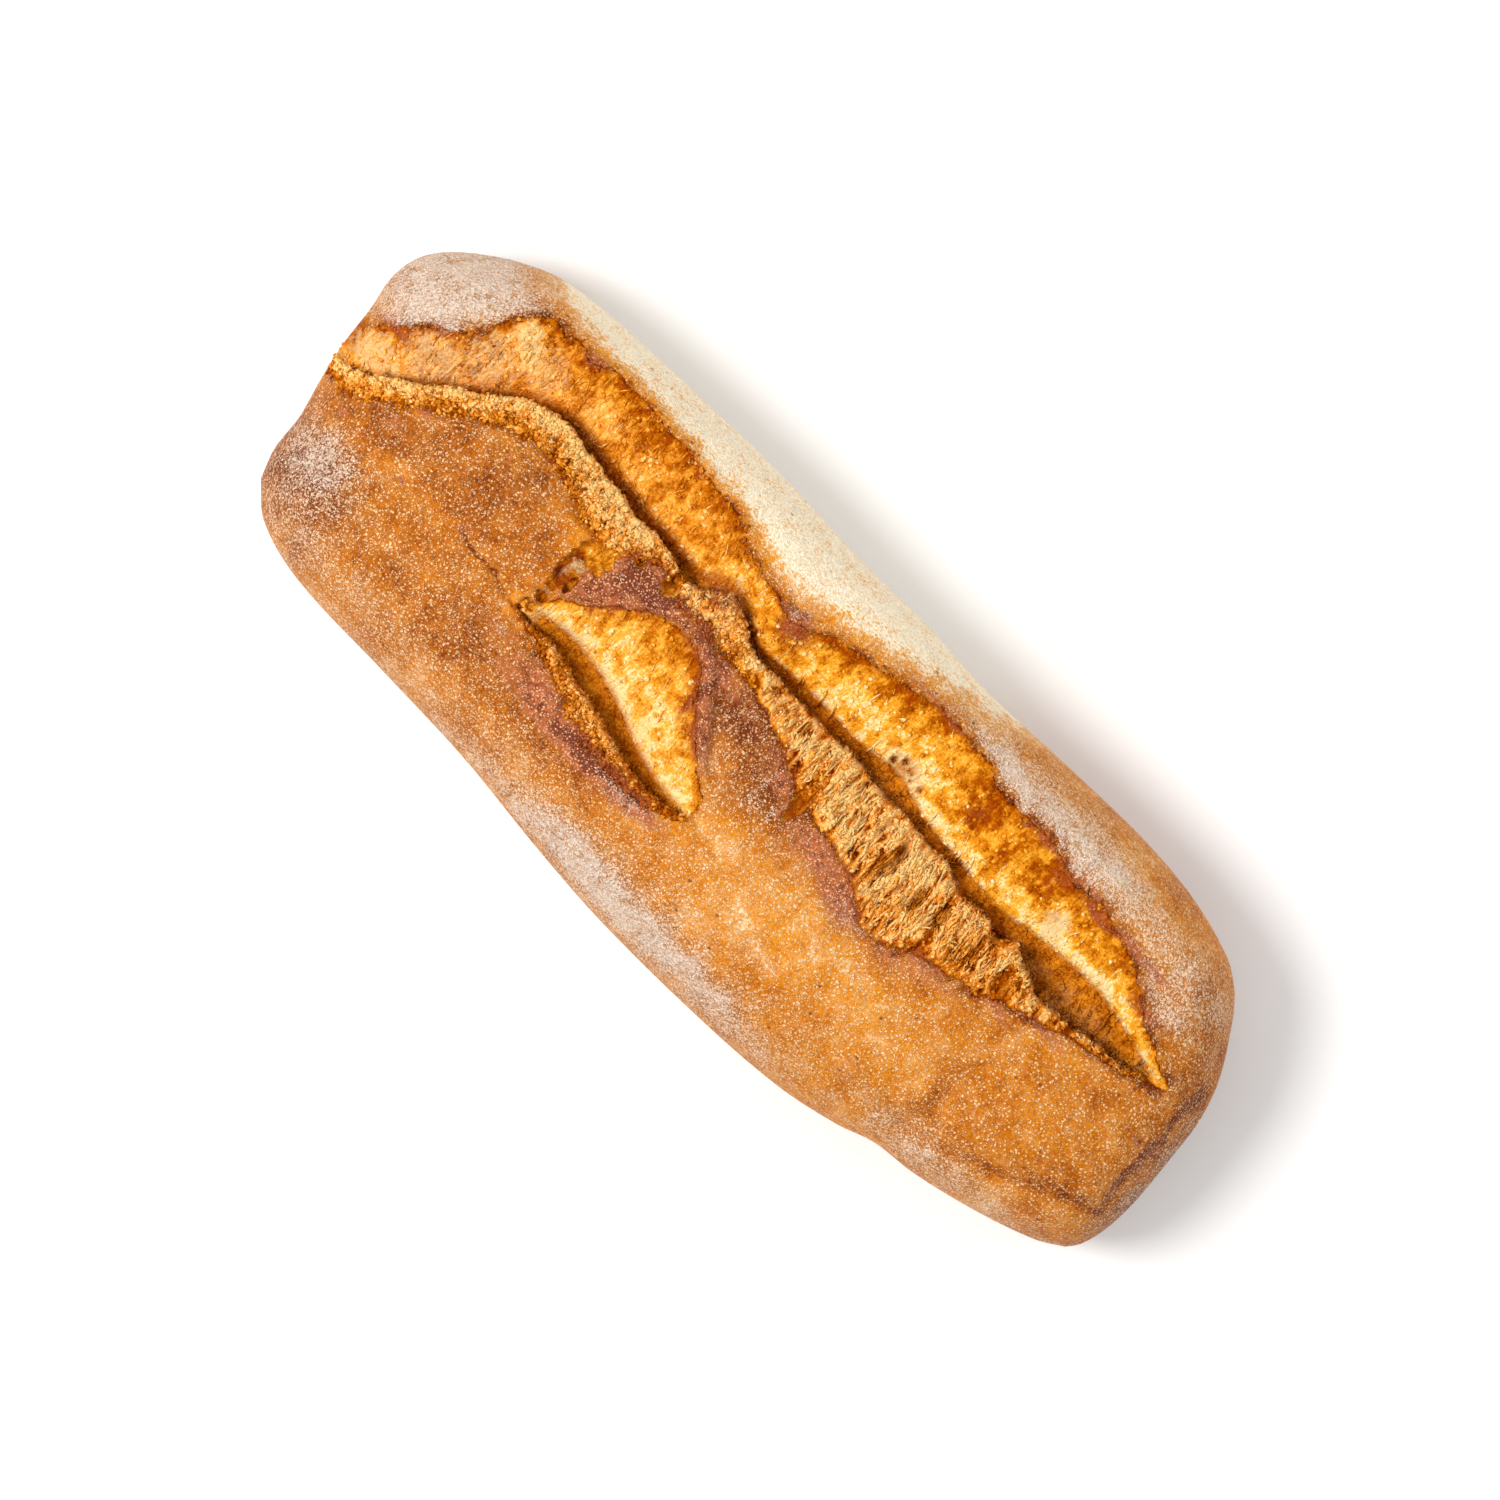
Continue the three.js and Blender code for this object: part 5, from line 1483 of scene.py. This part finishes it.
class CiabattaColours(bpy.types.PropertyGroup):
    pale_flank: colour_setting("Pale flank", "Crust that leaned on its neighbour and stayed soft", "FFF2D4")
    light_crust: colour_setting("Light crust", "The lightest browning", "E49A2C")
    golden_crust: colour_setting("Golden crust", "Most of the crown", "D27C08")
    brown_crust: colour_setting("Brown crust", "Where the oven was hottest", "AE5A04")
    light_ruddy: colour_setting("Light ruddy crust", "Light crust under a film of flour", "E6A460")
    ruddy_crust: colour_setting("Ruddy crust", "Crust under a film of flour", "C4762E")
    dark_ruddy: colour_setting("Dark ruddy crust", "Dark crust under a film of flour", "7C3C16")
    dark_crust: colour_setting("Dark crust", "The darkest browning short of scorch", "6A2A04")
    light_bloom: colour_setting("Light bloom", "The pale grit of light crust", "FFE0B0")
    crust_bloom: colour_setting("Crust bloom", "The pale grit of golden crust", "FFCE8C")
    dark_bloom: colour_setting("Dark bloom", "The pale grit of dark crust", "E8B484")
    scorch_bloom: colour_setting("Scorch bloom", "The light grit on scorched crust", "F8B888")
    scorched_crust: colour_setting("Scorched crust", "Purple-brown, on thin ridges and edges", "B6663C")
    burnt_crust: colour_setting("Burnt crust", "The darkest grit of the scorch", "783822")
    flour: colour_setting("Flour", "Flour baked onto the crust", "FCE8D6")
    semolina: colour_setting("Semolina", "Coarse grains of semolina", "F0BC80")
    pale_crumb: colour_setting("Pale crumb", "Crumb at the foot of the golden slope", "FFE4A8")
    yellow_crumb: colour_setting("Yellow crumb", "Crumb that the oven only just reached", "FFBA3E")
    amber_crumb: colour_setting("Amber crumb", "Lightly toasted crumb", "E6921E")
    toasted_crumb: colour_setting("Toasted crumb", "Toasted crumb near the crust", "B86004")
    burnt_crumb: colour_setting("Burnt crumb", "Crumb scorched at the crust's edge", "9A3E06")
    dry_tips: colour_setting("Dry tips", "The tips of torn strands", "FFD284")
    dry_crumb: colour_setting("Dry crumb", "Torn strands and crumbs on the lips", "FFA840")
    # Dry shade is partly the toast of strands and crumbs, and partly painted shade, which their undersides
    # and the low places between them reach.
    dry_shade: colour_setting("Dry shade", "The gaps between torn strands", "D47C1E")
    # Painted shade: the crumb colours that the hollow mark lays in the troughs and pits.
    trough_shade_crumb: colour_setting("Deep crumb", "Crumb on the floor of the trough", "E89220")
    shaded_crumb: colour_setting("Shaded crumb", "The darkest crumb of the trough", "A04C00")
    bubble_skin: colour_setting("Bubble skin", "The dry skin of burst bubbles in crust and crumb", "E0C08C")
    table: colour_setting("Table", "The pale table", "F7F7F7")


class CiabattaSizes(bpy.types.PropertyGroup):
    strand_width: length_setting("Strand width", "The usual width of a torn strand", 0.55)
    crumb_size: length_setting("Crumb size", "The usual size of a torn crumb", 1.3)
    grain_size: length_setting("Grain size", "The usual size of a grain of semolina", 0.42)
    flake_size: length_setting("Flake size", "The usual length of a flake of crust", 1.7)
    camera_distance: length_setting("Camera distance", "How far above the loaf the camera hangs", 2000)
    picture_width: length_setting("Picture width", "The width that the picture takes in", 380.2)
    strand_share: bpy.props.FloatProperty(
        name="Strands", description="How densely torn strands are sown", subtype="FACTOR", min=0, max=1,
        default=1,
    )
    crumb_count: count_setting("Crumbs", "How many torn crumbs lie about", 8000)
    flake_count: count_setting("Flakes", "How many flakes are lifted", 1100)
    grain_count: count_setting("Grains", "How many semolina grains lie on it", 20000)


def settings():
    return bpy.context.scene.ciabatta_colours, bpy.context.scene.ciabatta_sizes


# --- Operators. -------------------------------------------------------------------------------------------


class CIABATTA_OT_bake(bpy.types.Operator):
    """Shapes the loaf's skin and bakes it"""

    bl_idname = "ciabatta.bake"
    bl_label = "Bake the loaf"

    def execute(self, context):
        colours, _ = settings()
        material = baked_wheat(colours)
        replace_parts(put_piece("crust", crust_mesh(), material), "loaf")
        put_piece("burst_crust", patch_mesh(), material)
        return {"FINISHED"}


class CIABATTA_OT_tear(bpy.types.Operator):
    """Fills the two cuts with torn crumb"""

    bl_idname = "ciabatta.tear"
    bl_label = "Tear it open"

    def execute(self, context):
        colours, _ = settings()
        cuts = (
            ("tear_crumb", TEAR, CRUMB_START, 133.0, 900, (34, 46)),
            ("slash_crumb", SLASH, SLASH_START - 2.5, SLASH_END + 1, 210, (26, 40)),
        )
        for name, cut, start, end, columns, band_rows in cuts:
            mesh = crumb_mesh(name, cut, start, end, columns, band_rows)
            put_piece(name, mesh, torn_gluten(colours))
        return {"FINISHED"}


class CIABATTA_OT_pull_strands(bpy.types.Operator):
    """Pulls strands of crumb out of the torn walls and lips"""

    bl_idname = "ciabatta.pull_strands"
    bl_label = "Pull the strands"

    def execute(self, context):
        colours, sizes = settings()
        rng = np.random.default_rng(41)
        usual = sizes.strand_width / MM
        parts = []
        for where, tries, box, heading, spread, curl, lengths, widths, lifts, free, shift, mix in STRANDS:
            x, y = sow(rng, int(tries * sizes.strand_share), box, where)
            count = len(x)
            parts.append(np.stack([
                x, y, heading + 0.30 * wander(x, y, 13) + rng.normal(0, spread, count),
                rng.normal(0, curl, count), rng.uniform(*lengths, count),
                usual * rng.uniform(*widths, count), rng.uniform(*lifts, count),
                0.8 * (rng.random(count) < free),
                looks(x, y)["toast"] + shift + rng.normal(0, mix, count),
            ], axis=1))
        mesh = strands_mesh("torn_strands", Skin(), np.concatenate(parts))
        put_piece("torn_strands", mesh, torn_gluten(colours))
        return {"FINISHED"}


class CIABATTA_OT_drop_crumbs(bpy.types.Operator):
    """Leaves small torn crumbs on the lips of the cuts"""

    bl_idname = "ciabatta.drop_crumbs"
    bl_label = "Drop the crumbs"

    def execute(self, context):
        colours, sizes = settings()
        rng = np.random.default_rng(43)

        def chance(x, y):
            walls = np.maximum(TEAR.torn(x, y), SLASH.torn(x, y))
            fringe = fringed(x, y) * (1 - 0.8 * bell(x + 32, 6) * bell(y - 22, 6))
            return np.clip(fringe + 0.35 * fibrous(x, y) + 0.13 * walls, 0, 1)

        x, y, spots, normals = scatter(rng, sizes.crumb_count, 5, (-147, 130, -31, 45), chance)
        size = sizes.crumb_size / MM * rng.uniform(0.35, 1.35, len(x))
        shares = looks(x, y)
        toast = np.clip(shares["toast"] - 0.06 + rng.normal(0, 0.16, len(x)), 0, 1)
        # The hollow mark brings the painted shade of the trough onto crumbs that lie in it.
        marks = {mark: shares[mark] for mark in ("dry", "hollow")}
        marks.update(toast=toast, scorch=0.5 * shares["scorch"])
        mesh = lumps_mesh("torn_crumbs", spots, normals, size, 0.8, rng, marks)
        put_piece("torn_crumbs", mesh, torn_gluten(colours))
        return {"FINISHED"}


class CIABATTA_OT_lift_flakes(bpy.types.Operator):
    """Lifts thin flakes of crust along the edges of the cuts"""

    bl_idname = "ciabatta.lift_flakes"
    bl_label = "Lift the flakes"

    def execute(self, context):
        _, sizes = settings()
        rng = np.random.default_rng(53)

        def chance(x, y):
            n, _, upper, lower = TEAR.across(x, y)
            slash_n, _, _, slash_lower = SLASH.across(x, y)
            edge = TEAR.alive(x) * (bell(n - upper - 0.2, 0.9) + 0.35 * bell(n + lower + 0.5, 1.2))
            slash_edge = 0.5 * bell(slash_n + slash_lower + 0.5, 1.0)
            knot = 0.35 * bell(x + 31, 12) * bell(y - 21, 4)
            return np.clip(edge + SLASH.alive(x) * slash_edge + knot, 0, 1)

        x, y, spots, normals = scatter(rng, sizes.flake_count, 16, (-146, 130, -31, 46), chance)
        lengths = sizes.flake_size / MM * rng.uniform(0.5, 1.5, len(x))
        n, _, _, _ = TEAR.across(x, y)
        headings = np.where(n > 0, -UP, UP) + rng.normal(0, 0.9, len(x))
        shares = looks(x, y)
        marks = {mark: shares[mark] for mark in ("dry", "bake", "toast", "scorch", "flour")}
        marks["bake"] = np.clip(marks["bake"] + rng.normal(0.05, 0.15, len(x)), 0, 1)
        mesh = flakes_mesh("crust_flakes", spots - normals * 0.15, normals, headings, lengths, rng, marks)
        put_piece("crust_flakes", mesh, bpy.data.materials["hearth_baked_wheat_crust"])
        return {"FINISHED"}


class CIABATTA_OT_dust(bpy.types.Operator):
    """Dusts the crust with grains of semolina"""

    bl_idname = "ciabatta.dust"
    bl_label = "Dust with semolina"

    def execute(self, context):
        colours, sizes = settings()
        rng = np.random.default_rng(47)

        def chance(x, y):
            shares = looks(x, y)
            return np.clip((0.36 + 0.9 * shares["flour"]) * (1 - shares["torn"]), 0, 1)

        x, y, spots, normals = scatter(rng, sizes.grain_count, 3, (-149, 149, -56, 56), chance)
        size = sizes.grain_size / MM * rng.uniform(0.6, 1.3, len(x))
        marks = {"flour": looks(x, y)["flour"]}
        mesh = lumps_mesh("semolina_grains", spots, normals, size, 0.7, rng, marks, sides=4)
        put_piece("semolina_grains", mesh, semolina(colours))
        return {"FINISHED"}


class CIABATTA_OT_set_stage(bpy.types.Operator):
    """Lays the pale table and hangs the lamps and the camera"""

    bl_idname = "ciabatta.set_stage"
    bl_label = "Set the stage"

    def execute(self, context):
        colours, sizes = settings()
        table_reach, white_room = 3.0, 0.62
        bm = bmesh.new()
        bmesh.ops.create_grid(bm, x_segments=1, y_segments=1, size=table_reach)
        mesh = bpy.data.meshes.new("table")
        bm.to_mesh(mesh)
        bm.free()
        material, _, shader = new_material("matt_white_card")
        shader.inputs["Base Color"].default_value = (*colours.table, 1)
        mesh.materials.append(material)
        table = put("table", mesh)

        roll = math.radians(45.21)  # the loaf lies across the picture from its top left
        right = Vector((math.cos(roll), math.sin(roll), 0))
        up = Vector((-math.sin(roll), math.cos(roll), 0))
        aim = Vector((-0.45 * MM, 1.33 * MM, 0.022))
        camera = bpy.data.cameras.new("camera")
        camera.lens = camera.sensor_width * sizes.camera_distance / sizes.picture_width
        camera.clip_end = 20
        eye = put("camera", camera)
        eye.location = aim + Vector((0, 0, sizes.camera_distance))
        eye.rotation_euler = (0, 0, roll)
        bpy.context.scene.camera = eye

        # A soft window to the picture's left, and a broad white bounce from the other side: each is its
        # name, its way from the loaf, its width in metres, its power in watts and its colour.
        lamps = (
            ("window", -right * 0.85 + up * 0.1 + Vector((0, 0, 1.3)), 0.7, 21.0, (1.0, 0.985, 0.96)),
            ("bounce", right * 1.3 + up * 0.5 + Vector((0, 0, 1.3)), 1.4, 7.5, (1.0, 1.0, 1.0)),
        )
        for name, away, size, power, colour in lamps:
            light = bpy.data.lights.new(name, "AREA")
            light.shape, light.size, light.energy, light.color = "DISK", size, power, colour
            lamp = put(name, light)
            lamp.location = aim + away
            lamp.rotation_euler = (-away).to_track_quat("-Z", "Y").to_euler()
        world = bpy.data.worlds.new("white_room")
        world.use_nodes = True
        background = world.node_tree.nodes["Background"]
        background.inputs["Color"].default_value = (1, 1, 1, 1)
        background.inputs["Strength"].default_value = white_room
        bpy.context.scene.world = world
        bpy.context.scene.view_settings.view_transform = "Standard"
        return {"FINISHED"}


OPERATORS = (
    CIABATTA_OT_bake, CIABATTA_OT_tear, CIABATTA_OT_pull_strands, CIABATTA_OT_drop_crumbs,
    CIABATTA_OT_lift_flakes, CIABATTA_OT_dust, CIABATTA_OT_set_stage,
)


class CIABATTA_PT_panel(bpy.types.Panel):
    """Lists the steps and the settings of the ciabatta"""

    bl_idname = "CIABATTA_PT_panel"
    bl_label = "Ciabatta"
    bl_space_type = "VIEW_3D"
    bl_region_type = "UI"
    bl_category = "Ciabatta"

    def draw(self, context):
        for operator in OPERATORS:
            self.layout.operator(operator.bl_idname)
        for group in (context.scene.ciabatta_sizes, context.scene.ciabatta_colours):
            for name in group.__annotations__:
                self.layout.prop(group, name)


CLASSES = (CiabattaColours, CiabattaSizes, *OPERATORS, CIABATTA_PT_panel)


def register():
    for cls in CLASSES:
        bpy.utils.register_class(cls)
    bpy.types.Scene.ciabatta_colours = bpy.props.PointerProperty(type=CiabattaColours)
    bpy.types.Scene.ciabatta_sizes = bpy.props.PointerProperty(type=CiabattaSizes)


def unregister():
    del bpy.types.Scene.ciabatta_sizes
    del bpy.types.Scene.ciabatta_colours
    for cls in reversed(CLASSES):
        bpy.utils.unregister_class(cls)


def main():
    register()
    bpy.ops.ciabatta.bake()
    bpy.ops.ciabatta.tear()
    bpy.ops.ciabatta.pull_strands()
    bpy.ops.ciabatta.drop_crumbs()
    bpy.ops.ciabatta.lift_flakes()
    bpy.ops.ciabatta.dust()
    bpy.ops.ciabatta.set_stage()


if __name__ == "__main__":
    main()
